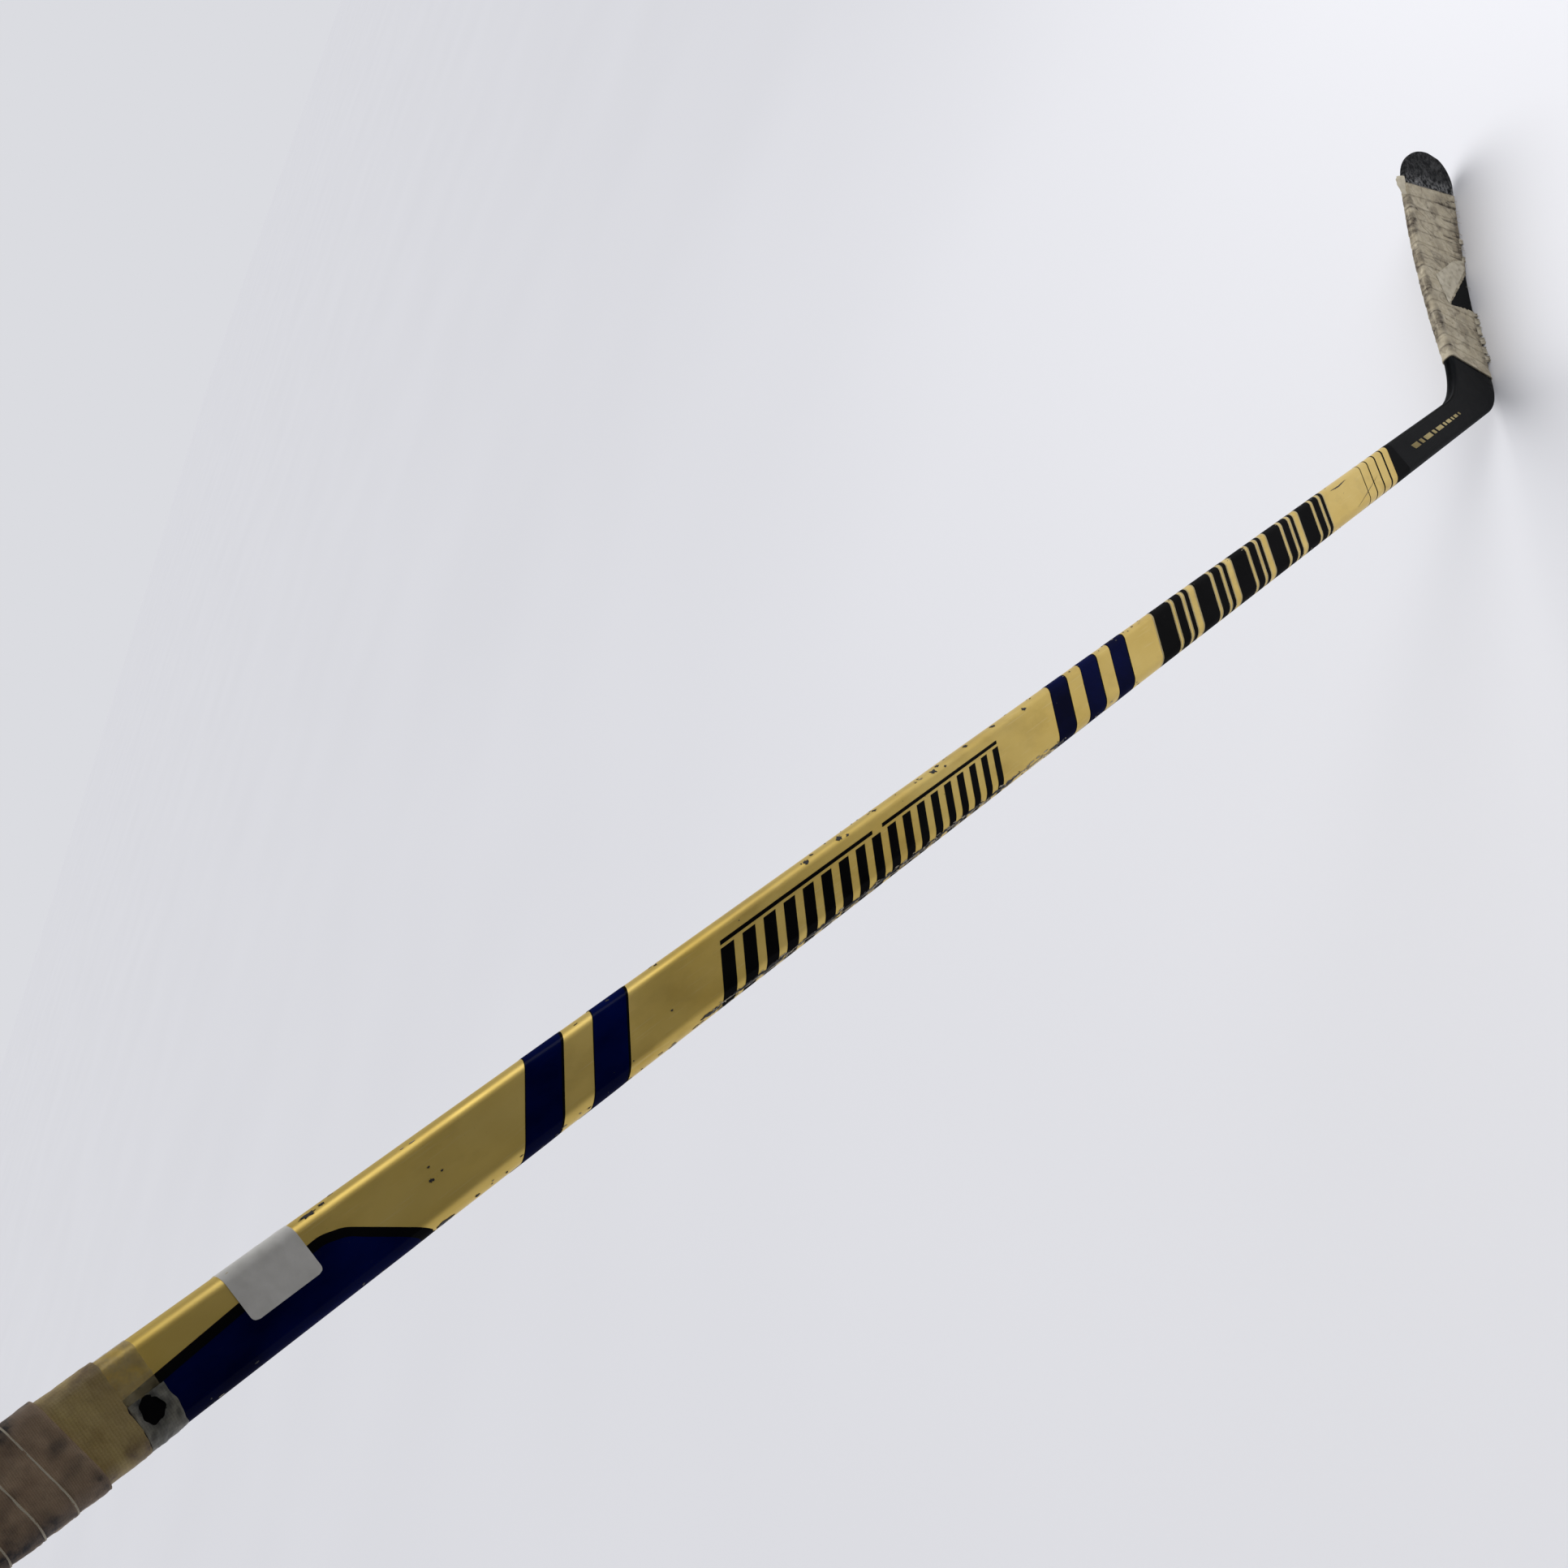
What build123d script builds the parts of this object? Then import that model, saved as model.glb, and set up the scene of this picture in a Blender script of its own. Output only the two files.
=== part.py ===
from build123d import *
from math import asin, degrees
import os

# Ice hockey stick, left-handed, senior size, in its playing position.
# Origin: where the centre line of the shaft meets the ice. +X runs from heel to toe, +Z is up
# from the ice, and -Y is the forehand side. The shaft rises towards -X at the lie angle.

# ---------------------------------------------------------------- driving dimensions (mm)
shaft_rise = 45.0            # angle of the shaft above the ice, degrees
stick_length = 1524.0        # heel to butt along the shaft's centre line
shaft_width = 30.0           # wide face
shaft_thickness = 20.0       # narrow side
shaft_corner = 5.0
tube_wall = 2.0
fuse_height = 285.0          # where the tube is joined to the hosel
tenon_reach = 50.0           # length of tenon inside the tube
tenon_root = 35.0            # length of tenon inside the hosel
tenon_chamfer = 1.5
glue_gap = 0.2

blade_lift = 0.7             # lowest point of the bare blade above the ice
rocker_radius = 3300.0       # curve of the blade's lower edge
rocker_middle = 125.0
heel_corner_x = -25.0        # where the shaft's lower edge would meet the blade's, unrounded
heel_radius = 80.0           # round of the heel, in the plane of the stick
throat_radius = 120.0        # round between the shaft and the blade's upper edge
heel_height = 57.4           # upper edge of the blade, carried back to x = 0
upper_slope = 0.080          # rise of the upper edge towards the toe
toe_tip = 282.0
toe_upper_radius = 47.0
toe_lower_radius = 26.0
curve_radius = 1270.0        # hollow of the forehand face, seen from above
curve_start = -45.0
skin_wall = 1.2              # carbon skin of the blade
corner_share = 0.28          # corner radius of a station, as a share of its thickness

rib_height = 32.0            # middle of the rib above the ice
rib_depth = 5.0
core_start = 6.0             # blade cores begin here, the hosel core ends here

plug_flange = 3.0
plug_reach = 45.0
plug_chamfer = 0.8
knob_length = 28.0
knob_build = 4.5             # thickness of the wound roll
grip_end = 1415.0            # lower end of the brown tape, along the shaft
base_tape_end = 1399.5       # lower end of the older tape
clear_tape_end = 1389.0
grip_thickness = 1.0
base_thickness = 0.5
clear_thickness = 0.2
scrap_top = -1.4             # upper edge of the scrap, across the face
scrap_hole_along = 5.4       # middle of its hole, from its lower end
scrap_hole_across = -6.4
scrap_hole_length = 5.2
scrap_hole_width = 6.8

label_low = 1333.2           # owner's label, along the shaft
label_high = 1359.0
label_drop = -3.8            # its lower edge, across the face
label_fold = 7.0             # how far it reaches down the back face
label_thickness = 0.15
label_corner = 2.0

tape_start = 7.3             # blade tape, heel side
tape_end_upper = 222.0       # toe side, at the upper edge
tape_end_lower = 246.0       # toe side, at the lower edge
tape_side = 1.0
strip_thickness = 0.5

# Outlines on the forehand face, as (x, z): the tear in the tape and the strip beside it.
tear_corners = [(85, 38), (97, 4), (150, 4)]
strip_corners = [(86, 40), (116, 51), (153, 20), (163, 4), (151, 4)]

os.makedirs("parts", exist_ok=True)

# ---------------------------------------------------------------- reference geometry
shaft_axis = Vector(-1, 0, 0).rotate(Axis.Y, shaft_rise)
across_shaft = Vector(0, 0, 1).rotate(Axis.Y, 90 - shaft_rise)
shaft_plane = Plane(origin=(0, 0, 0), x_dir=across_shaft, z_dir=shaft_axis)
length_axis = Axis((0, 0, 0), shaft_axis)
across_axis = Axis((0, 0, 0), across_shaft)


def on_shaft(along, across):
    """Point in the plane of the stick, along the shaft from the ice and across its wide face."""
    return shaft_axis * along + across_shaft * across


def rocker(x):
    """Height of the bare blade's lower edge above the ice."""
    return blade_lift + (x - rocker_middle) ** 2 / (2 * rocker_radius)


def upper_line(x):
    """Height of the blade's upper edge before the toe is rounded."""
    return heel_height + upper_slope * x


def curve_angle(x):
    """Turn of the blade away from the plane of the stick, in degrees."""
    return degrees(asin(max(x - curve_start, 0) / curve_radius))


def curve_depth(x):
    """Distance of the blade's middle surface in front of the plane of the stick."""
    run = max(x - curve_start, 0)
    return curve_radius - (curve_radius ** 2 - run ** 2) ** 0.5


def in_plane(point):
    """The same point as (x, z) numbers for a sketch on Plane.XZ."""
    return (point.X, point.Z)


# Edges of the bare stick below the joint, in the plane of the stick.
half_width = shaft_width / 2
heel_along = rocker(heel_corner_x) / shaft_axis.Z + half_width
throat_across = across_shaft * half_width
throat_along = (heel_height + upper_slope * throat_across.X - throat_across.Z) / (
    shaft_axis.Z - upper_slope * shaft_axis.X
)
blade_run = 300.0            # both edges are drawn past the toe, which is cut from them later

with BuildLine(Plane.XZ) as lower_edge:
    heel_corner = on_shaft(heel_along, -half_width)
    Line(in_plane(on_shaft(fuse_height, -half_width)), in_plane(heel_corner))
    ThreePointArc(
        in_plane(heel_corner),
        (rocker_middle, rocker(rocker_middle)),
        (blade_run, rocker(blade_run)),
    )
    fillet(lower_edge.vertices().sort_by(Axis.X)[1], radius=heel_radius)

with BuildLine(Plane.XZ) as upper_edge:
    throat_corner = on_shaft(throat_along, half_width)
    Polyline(
        in_plane(on_shaft(fuse_height, half_width)),
        in_plane(throat_corner),
        (blade_run, upper_line(blade_run)),
    )
    fillet(upper_edge.vertices().sort_by(Axis.X)[1], radius=throat_radius)


# ---------------------------------------------------------------- stations of the hosel and blade
# A station is a cross-section, kept as (lower point, upper point, thickness). The thickness falls
# with the distance travelled from the joint: (travel, thickness) pairs, straight in between.
throat_start = upper_edge.edges()[0].length
heel_end = lower_edge.edges()[0].length + lower_edge.edges()[1].length
throat_end = throat_start + upper_edge.edges()[1].length
thickness_line = [
    (0, shaft_thickness),
    (45, shaft_thickness),
    (throat_start, 15.2),
    (heel_end, 9.8),
    (heel_end + 100, 7.8),
    (heel_end + 245, 6.0),
    (heel_end + 280, 5.0),
]
hosel_steps = 7
fan_steps = 6
blade_steps = 9
toe_turns = (0, 15, 30, 45, 58, 70, 80)


def between(low, high, share):
    """Value at a share of the way from low to high."""
    return low + (high - low) * share


def thickness_at(travel):
    """Thickness of the hosel or blade at a distance from the joint."""
    for (start, thick), (end, thin) in zip(thickness_line, thickness_line[1:]):
        if travel <= end:
            return between(thick, thin, (travel - start) / (end - start))
    return thickness_line[-1][1]


stations = []

# Square to the shaft down to the throat, then fanned round the throat and the heel.
for step in range(hosel_steps + fan_steps + 1):
    if step < hosel_steps:
        lower_travel = throat_start * step / hosel_steps
        upper_travel = lower_travel
    else:
        fan_share = (step - hosel_steps) / fan_steps
        lower_travel = between(throat_start, heel_end, fan_share)
        upper_travel = between(throat_start, throat_end, fan_share)
    lower = lower_edge.wire().position_at(lower_travel, PositionMode.LENGTH)
    upper = upper_edge.wire().position_at(upper_travel, PositionMode.LENGTH)
    stations.append((lower, upper, thickness_at(lower_travel)))
heel_station = len(stations) - 1

# Along the blade, from the heel to the start of the toe.
toe_lower_x = toe_tip - toe_lower_radius
toe_upper_x = toe_tip - toe_upper_radius
for step in range(1, blade_steps):
    lower_x = between(lower.X, toe_lower_x, 1 / (blade_steps + 1 - step))
    upper_x = between(upper.X, toe_upper_x, 1 / (blade_steps + 1 - step))
    lower = Vector(lower_x, 0, rocker(lower_x))
    upper = Vector(upper_x, 0, upper_line(upper_x))
    stations.append((lower, upper, thickness_at(heel_end + lower_x)))

# Round the toe, both ends of a station follow the toe's two arcs.
for turn in toe_turns:
    lower_arm = Vector(0, 0, -toe_lower_radius).rotate(Axis.Y, -turn)
    upper_arm = Vector(0, 0, toe_upper_radius).rotate(Axis.Y, turn)
    lower = Vector(toe_lower_x, 0, rocker(toe_lower_x) + toe_lower_radius) + lower_arm
    upper = Vector(toe_upper_x, 0, upper_line(toe_upper_x) - toe_upper_radius) + upper_arm
    stations.append((lower, upper, thickness_at(heel_end + lower.X)))


def station_plane(lower, upper):
    """Plane of a station, carried onto the curved middle surface of the blade."""
    middle = (lower + upper) * 0.5
    turn = curve_angle(middle.X)
    rise = (upper - lower).normalized()
    forward = Vector(rise.Z, 0, -rise.X)
    return Plane(
        origin=(middle.X, -curve_depth(middle.X), middle.Z),
        x_dir=rise.rotate(Axis.Z, -turn),
        z_dir=forward.rotate(Axis.Z, -turn),
    )


def blade_form(chosen, grow=0.0, hollow=False):
    """Loft through the chosen stations, grown outwards, or shrunk by each station's skin."""
    with BuildPart() as form:
        for lower, upper, thickness in chosen:
            skin = min(tube_wall, skin_wall * thickness / 10)
            step = -max(skin, skin_wall) if hollow else grow
            height = (upper - lower).length
            corner = min(shaft_corner, corner_share * thickness)
            with BuildSketch(station_plane(lower, upper)):
                RectangleRounded(height + 2 * step, thickness + 2 * step, corner + step)
        loft()
    return form.part


outer_form = blade_form(stations)
inner_form = blade_form(stations[:-2], hollow=True)
taped_form = blade_form(stations[heel_station - 1:-3], grow=tape_side)
strip_form = blade_form(stations[heel_station - 1:-3], grow=tape_side + strip_thickness)

cut = 400.0                  # larger than any cross-section of the blade

# ---------------------------------------------------------------- cutting volumes, not exported
# Everything on the backhand side of the blade's middle surface.
with BuildPart() as backhand_space:
    with BuildSketch(Plane.XY.offset(-cut / 2)):
        with BuildLine():
            middle_run = (curve_start + toe_tip) / 2
            Line((-cut, 0), (curve_start, 0))
            ThreePointArc(
                (curve_start, 0),
                (middle_run, -curve_depth(middle_run)),
                (toe_tip + 5, -curve_depth(toe_tip + 5)),
            )
            Polyline((toe_tip + 5, -curve_depth(toe_tip + 5)), (cut, cut), (-cut, cut), (-cut, 0))
        make_face()
    extrude(amount=2 * cut)

# Everything of the hosel that holds the tenon.
with BuildPart() as tenon_space:
    with BuildSketch(shaft_plane.offset(fuse_height - tenon_root)):
        Rectangle(4 * shaft_width, 4 * shaft_width)
    extrude(amount=cut)

# The blade's side of the end of the hosel core.
with BuildPart() as blade_space:
    with Locations((core_start + cut / 2, 0, 0)):
        Box(cut, cut, cut)

# The height of the rib.
with BuildPart() as rib_space:
    with Locations((0, 0, rib_height)):
        Box(2 * cut, cut, rib_depth)

with BuildPart() as above_rib:
    with Locations((0, 0, rib_height + rib_depth / 2 + cut / 2)):
        Box(2 * cut, cut, cut)

# ---------------------------------------------------------------- carbon skins
with BuildPart() as blade_skin_forehand:
    add(outer_form)
    add(inner_form, mode=Mode.SUBTRACT)
    add(backhand_space.part, mode=Mode.SUBTRACT)

with BuildPart() as blade_skin_backhand:
    add(outer_form)
    add(inner_form, mode=Mode.SUBTRACT)
    add(backhand_space.part, mode=Mode.INTERSECT)

# ---------------------------------------------------------------- cores and rib
with BuildPart() as hosel_core:
    add(inner_form)
    add(tenon_space.part, mode=Mode.SUBTRACT)
    add(blade_space.part, mode=Mode.SUBTRACT)

with BuildPart() as blade_rib:
    add(inner_form)
    add(blade_space.part, mode=Mode.INTERSECT)
    add(rib_space.part, mode=Mode.INTERSECT)

with BuildPart() as blade_core_upper:
    add(inner_form)
    add(blade_space.part, mode=Mode.INTERSECT)
    add(above_rib.part, mode=Mode.INTERSECT)

with BuildPart() as blade_core_lower:
    add(inner_form)
    add(blade_space.part, mode=Mode.INTERSECT)
    add(above_rib.part, mode=Mode.SUBTRACT)
    add(rib_space.part, mode=Mode.SUBTRACT)

# ---------------------------------------------------------------- tenon and its glue
bore_width = shaft_width - 2 * tube_wall
bore_thickness = shaft_thickness - 2 * tube_wall
bore_corner = shaft_corner - tube_wall

with BuildPart() as hosel_tenon:
    add(inner_form)
    add(tenon_space.part, mode=Mode.INTERSECT)
    with BuildSketch(shaft_plane.offset(fuse_height)):
        RectangleRounded(
            bore_width - 2 * glue_gap, bore_thickness - 2 * glue_gap, bore_corner - glue_gap
        )
    extrude(amount=tenon_reach)
    chamfer(hosel_tenon.faces().sort_by(length_axis)[-1].edges(), tenon_chamfer)

with BuildPart() as glue_sleeve:
    with BuildSketch(shaft_plane.offset(fuse_height)):
        RectangleRounded(bore_width, bore_thickness, bore_corner)
        RectangleRounded(
            bore_width - 2 * glue_gap,
            bore_thickness - 2 * glue_gap,
            bore_corner - glue_gap,
            mode=Mode.SUBTRACT,
        )
    extrude(amount=tenon_reach)

# ---------------------------------------------------------------- shaft tube and butt plug
tube_top = stick_length - plug_flange

with BuildPart() as shaft_tube:
    with BuildSketch(shaft_plane.offset(fuse_height)):
        RectangleRounded(shaft_width, shaft_thickness, shaft_corner)
        RectangleRounded(bore_width, bore_thickness, bore_corner, mode=Mode.SUBTRACT)
    extrude(amount=tube_top - fuse_height)

with BuildPart() as butt_plug:
    with BuildSketch(shaft_plane.offset(tube_top)):
        RectangleRounded(shaft_width, shaft_thickness, shaft_corner)
    extrude(amount=plug_flange)
    chamfer(butt_plug.faces().sort_by(length_axis)[-1].edges(), plug_chamfer)
    with BuildSketch(shaft_plane.offset(tube_top - plug_reach)):
        RectangleRounded(bore_width, bore_thickness, bore_corner)
    extrude(amount=plug_reach)


def shaft_band(start, end, inside, outside):
    """Closed band round the shaft, between two offsets from its surface."""
    with BuildPart() as band:
        with BuildSketch(shaft_plane.offset(start)):
            RectangleRounded(
                shaft_width + 2 * outside, shaft_thickness + 2 * outside, shaft_corner + outside
            )
            RectangleRounded(
                shaft_width + 2 * inside,
                shaft_thickness + 2 * inside,
                shaft_corner + inside,
                mode=Mode.SUBTRACT,
            )
        extrude(amount=end - start)
    return band.part


# ---------------------------------------------------------------- tape on the grip
with BuildPart() as grip_base_tape:
    add(shaft_band(base_tape_end, tube_top, 0, base_thickness))

with BuildPart() as knob_core:
    add(shaft_band(tube_top - knob_length, tube_top, base_thickness, base_thickness + knob_build))

with BuildPart() as grip_tape:
    grip_outside = base_thickness + grip_thickness
    knob_start = tube_top - knob_length - grip_thickness
    add(shaft_band(grip_end, knob_start, base_thickness, grip_outside))
    add(shaft_band(knob_start, tube_top, base_thickness, grip_outside + knob_build))
    add(knob_core.part, mode=Mode.SUBTRACT)

# ---------------------------------------------------------------- pieces stuck on the face
# The lower part of the forehand face and the lower narrow side, where the scrap sits.
with BuildPart() as scrap_space:
    with BuildSketch(shaft_plane.offset(clear_tape_end)):
        with Locations((-shaft_width + scrap_top, -shaft_thickness / 2)):
            Rectangle(2 * shaft_width, shaft_thickness + 4)
    extrude(amount=base_tape_end - clear_tape_end)

with BuildPart() as clear_tape:
    add(shaft_band(clear_tape_end, base_tape_end, 0, clear_thickness))
    add(scrap_space.part, mode=Mode.SUBTRACT)

with BuildPart() as tape_scrap:
    add(shaft_band(clear_tape_end, base_tape_end, 0, clear_thickness))
    add(scrap_space.part, mode=Mode.INTERSECT)
    with BuildSketch(Plane.XZ.offset(shaft_thickness / 2 - 1)):
        with Locations(in_plane(on_shaft(clear_tape_end + scrap_hole_along, scrap_hole_across))):
            Ellipse(scrap_hole_width / 2, scrap_hole_length / 2, rotation=-shaft_rise)
    extrude(amount=3, mode=Mode.SUBTRACT)

# The label runs from its lower edge on the face, over the narrow side and down the back.
with BuildPart() as owner_label:
    with BuildSketch(shaft_plane.offset(label_low)):
        with Locations((label_drop, 0)):
            Rectangle(shaft_width, shaft_thickness, align=(Align.MIN, Align.MAX))
        with Locations((half_width - label_fold, 0)):
            Rectangle(shaft_width, shaft_thickness, align=(Align.MIN, Align.MIN))
    extrude(amount=label_high - label_low)
    add(shaft_band(label_low, label_high, 0, label_thickness), mode=Mode.INTERSECT)
    corners = owner_label.edges().filter_by(Axis.Y).group_by(across_axis)[0]
    fillet(corners, label_corner)

# ---------------------------------------------------------------- tape on the blade
# The front face is torn through in a triangle that opens towards the lower edge.
with BuildPart() as tear_space:
    with BuildSketch(Plane.XZ):
        with BuildLine():
            Polyline(*tear_corners, close=True)
        make_face()
    extrude(amount=cut)
    add(backhand_space.part, mode=Mode.SUBTRACT)

# Its lower side is worn flat where the stick rests on the ice.
with BuildPart() as blade_tape:
    add(taped_form)
    add(outer_form, mode=Mode.SUBTRACT)
    with BuildSketch(Plane.XZ):
        with BuildLine():
            Polyline(
                (tape_start, 0),
                (tape_end_lower, 0),
                (tape_end_upper, 2 * heel_height),
                (tape_start, 2 * heel_height),
                close=True,
            )
        make_face()
    extrude(amount=cut, both=True, mode=Mode.INTERSECT)
    add(tear_space.part, mode=Mode.SUBTRACT)

with BuildPart() as blade_tape_strip:
    with BuildSketch(Plane.XZ):
        with BuildLine():
            Polyline(*strip_corners, close=True)
        make_face()
    extrude(amount=cut)
    add(strip_form, mode=Mode.INTERSECT)
    add(taped_form, mode=Mode.SUBTRACT)
    add(backhand_space.part, mode=Mode.SUBTRACT)

# ---------------------------------------------------------------- one file for each piece
pieces = {
    "shaft_tube": shaft_tube,
    "butt_plug": butt_plug,
    "hosel_tenon": hosel_tenon,
    "glue_sleeve": glue_sleeve,
    "hosel_core": hosel_core,
    "blade_skin_forehand": blade_skin_forehand,
    "blade_skin_backhand": blade_skin_backhand,
    "blade_core_upper": blade_core_upper,
    "blade_core_lower": blade_core_lower,
    "blade_rib": blade_rib,
    "blade_tape": blade_tape,
    "blade_tape_strip": blade_tape_strip,
    "knob_core": knob_core,
    "grip_base_tape": grip_base_tape,
    "grip_tape": grip_tape,
    "clear_tape": clear_tape,
    "tape_scrap": tape_scrap,
    "owner_label": owner_label,
}
for name, piece in pieces.items():
    piece.part.label = name
    export_step(piece.part, f"parts/{name}.step")
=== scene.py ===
import math

import bmesh
import bpy
import numpy as np
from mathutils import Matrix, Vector
from mathutils.kdtree import KDTree


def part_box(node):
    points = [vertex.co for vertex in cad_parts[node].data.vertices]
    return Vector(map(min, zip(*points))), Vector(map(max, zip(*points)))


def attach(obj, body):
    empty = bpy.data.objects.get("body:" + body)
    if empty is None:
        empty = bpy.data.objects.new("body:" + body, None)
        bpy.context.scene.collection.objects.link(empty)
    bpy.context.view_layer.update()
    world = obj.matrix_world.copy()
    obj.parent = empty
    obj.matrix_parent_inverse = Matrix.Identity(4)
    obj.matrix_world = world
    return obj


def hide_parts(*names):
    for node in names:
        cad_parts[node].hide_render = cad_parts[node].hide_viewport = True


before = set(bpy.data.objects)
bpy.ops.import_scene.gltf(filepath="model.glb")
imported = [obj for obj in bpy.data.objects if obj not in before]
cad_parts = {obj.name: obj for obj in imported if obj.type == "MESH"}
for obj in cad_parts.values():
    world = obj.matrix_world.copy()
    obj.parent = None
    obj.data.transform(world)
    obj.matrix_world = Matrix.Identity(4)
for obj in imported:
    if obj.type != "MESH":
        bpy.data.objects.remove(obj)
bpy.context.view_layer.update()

MM = 0.001
WELD = 0.002 * MM
SLIVER = 0.0015 * MM
rng = np.random.default_rng(41)

# ---------------------------------------------------------------- driving dimensions (mm)
# The shaft: its length, thickness and joint with the hosel come from the shaft tube's box in model.glb.
SHAFT_RISE = math.radians(45.0)
HALF_WIDTH = 15.0
CORNER = 5.0
TUBE_WALL = 2.0
PLUG_REACH = 45.0
tube_low, tube_high = (np.round(np.array(corner) / MM, 3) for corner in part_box("shaft_tube"))
HALF_THICKNESS = tube_high[1]
FUSE_HEIGHT = tube_low[2] / math.sin(SHAFT_RISE) + HALF_WIDTH
TUBE_TOP = tube_high[2] / math.sin(SHAFT_RISE) - HALF_WIDTH
PLUG_FLANGE = 3.0
STICK_LENGTH = TUBE_TOP + PLUG_FLANGE

# The blade.
BLADE_LIFT = 0.7
BLADE_TOP = 75.0
SKIN = 1.2
ROCKER_RADIUS = 3300.0
ROCKER_MIDDLE = 125.0
HEEL_RADIUS = 80.0
THROAT_RADIUS = 120.0
HEEL_HEIGHT = 57.4
UPPER_SLOPE = 0.080
TOE_TIP = 282.0
TOE_UPPER_RADIUS = 47.0
TOE_LOWER_RADIUS = 26.0
CURVE_RADIUS = 1270.0
CURVE_START = -45.0
CORNER_SHARE = 0.28

# The shaft's own directions: up the shaft, across its wide face, and out of the forehand face.
ALONG = np.array([-math.cos(SHAFT_RISE), 0.0, math.sin(SHAFT_RISE)])
ACROSS = np.array([math.sin(SHAFT_RISE), 0.0, math.cos(SHAFT_RISE)])
OUT = np.array([0.0, -1.0, 0.0])


# ---------------------------------------------------------------- small helpers
def between(low, high, share):
    return low + (high - low) * share


def smooth_step(low, high, value):
    share = np.clip((value - low) / (high - low), 0.0, 1.0)
    return share * share * (3.0 - 2.0 * share)


def hump(value, middle, reach):
    """1 at the middle, falling smoothly to nothing a few reaches away."""
    return np.exp(-((value - middle) / reach) ** 2)


def down(count, low=0.0, high=1.0):
    """Evenly spaced values as a column."""
    return np.linspace(low, high, count)[:, None]


class Waves:
    """Smooth, repeatable noise in 2-D: a sum of sine waves with seeded directions."""

    def __init__(self, size, count, seed):
        draw = np.random.default_rng(seed)
        angle = draw.uniform(0, 2 * math.pi, count)
        rate = 2 * math.pi / (size * draw.uniform(0.5, 2.2, count))
        phase = draw.uniform(0, 2 * math.pi, count)
        self.waves = list(zip(np.cos(angle) * rate, np.sin(angle) * rate, phase))
        self.gain = 1.0 / math.sqrt(count / 2)

    def __call__(self, x, y):
        return self.gain * sum(np.sin(kx * x + ky * y + phase) for kx, ky, phase in self.waves)


def finish_piece(name, points, faces, material, slot, stands_for=(), sharp=40.0):
    """Mesh piece from points in millimetres, welded, smooth, riding on the stick."""
    used, index = np.unique(np.concatenate([np.ravel(face) for face in faces]), return_inverse=True)
    starts = np.cumsum([0] + [len(face) for face in faces])
    corners = [tuple(index[start:end]) for start, end in zip(starts, starts[1:])]
    mesh = bpy.data.meshes.new(name)
    mesh.from_pydata([tuple(point) for point in points[used] * MM], [], corners)
    work = bmesh.new()
    work.from_mesh(mesh)
    bmesh.ops.remove_doubles(work, verts=work.verts, dist=WELD)
    bmesh.ops.dissolve_degenerate(work, edges=work.edges, dist=SLIVER)
    bmesh.ops.recalc_face_normals(work, faces=work.faces)
    work.to_mesh(mesh)
    work.free()
    mesh.polygons.foreach_set("use_smooth", [True] * len(mesh.polygons))
    mesh.set_sharp_from_angle(angle=math.radians(sharp))
    mesh.materials.append(material)
    piece = bpy.data.objects.new(name, mesh)
    bpy.context.scene.collection.objects.link(piece)
    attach(piece, "root")
    if stands_for:
        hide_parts(*stands_for)
    return piece


def store(piece, name, values):
    """Keep one number per vertex for the material."""
    layer = piece.data.attributes.new(name, "FLOAT", "POINT")
    layer.data.foreach_set("value", np.asarray(values, np.float32))


def soiled_piece(name, shell, dirt, material, slot, stands_for=()):
    """A tape piece whose soiling is kept on its vertices, matched by nearest point after welding."""
    points, faces = shell
    piece = finish_piece(name, points, faces, material, slot, stands_for, sharp=50.0)
    dirt = np.resize(np.clip(dirt, 0, 1), len(points))
    search = KDTree(len(points))
    for number, point in enumerate(points):
        search.insert(point * MM, number)
    search.balance()
    store(piece, "dirt", [dirt[search.find(vertex.co)[1]] for vertex in piece.data.vertices])


def sheet(outer, inner, around=False, keep=None):
    """Closed shell between two grids of points. around joins the last column to the first."""
    rows, columns = outer.shape[:2]
    size = rows * columns
    points = np.concatenate([outer.reshape(-1, 3), inner.reshape(-1, 3)])
    last = columns if around else columns - 1
    faces, edges = [], {}
    for i in range(rows - 1):
        for j in range(last):
            if keep is not None and not keep[i, j]:
                continue
            k = (j + 1) % columns
            quad = (i * columns + j, i * columns + k, (i + 1) * columns + k, (i + 1) * columns + j)
            faces.append(quad)
            faces.append(tuple(size + v for v in reversed(quad)))
            for a, b in zip(quad, quad[1:] + quad[:1]):
                edges[(a, b)] = True
    for a, b in edges:
        if (b, a) not in edges:
            faces.append((b, a, size + a, size + b))
    return points, faces


def join_shells(shells):
    """One list of points and faces from several."""
    points, faces, start = [], [], 0
    for shell_points, shell_faces in shells:
        points.append(shell_points)
        faces.extend(tuple(start + v for v in face) for face in shell_faces)
        start += len(shell_points)
    return np.concatenate(points), faces


# ---------------------------------------------------------------- surface of the shaft
# girth is the distance round the shaft: 0 is the middle of the forehand face, positive girth goes
# to the upper narrow side, negative girth to the lower one.
FLAT_WIDE = HALF_WIDTH - CORNER
FLAT_NARROW = HALF_THICKNESS - CORNER
ARC = CORNER * math.pi / 2
SIDE_START = FLAT_WIDE + ARC
SIDE_END = SIDE_START + 2 * FLAT_NARROW
BACK_START = SIDE_END + ARC
HALF_GIRTH = BACK_START + FLAT_WIDE
GIRTH_STEP = 1.1


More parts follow.
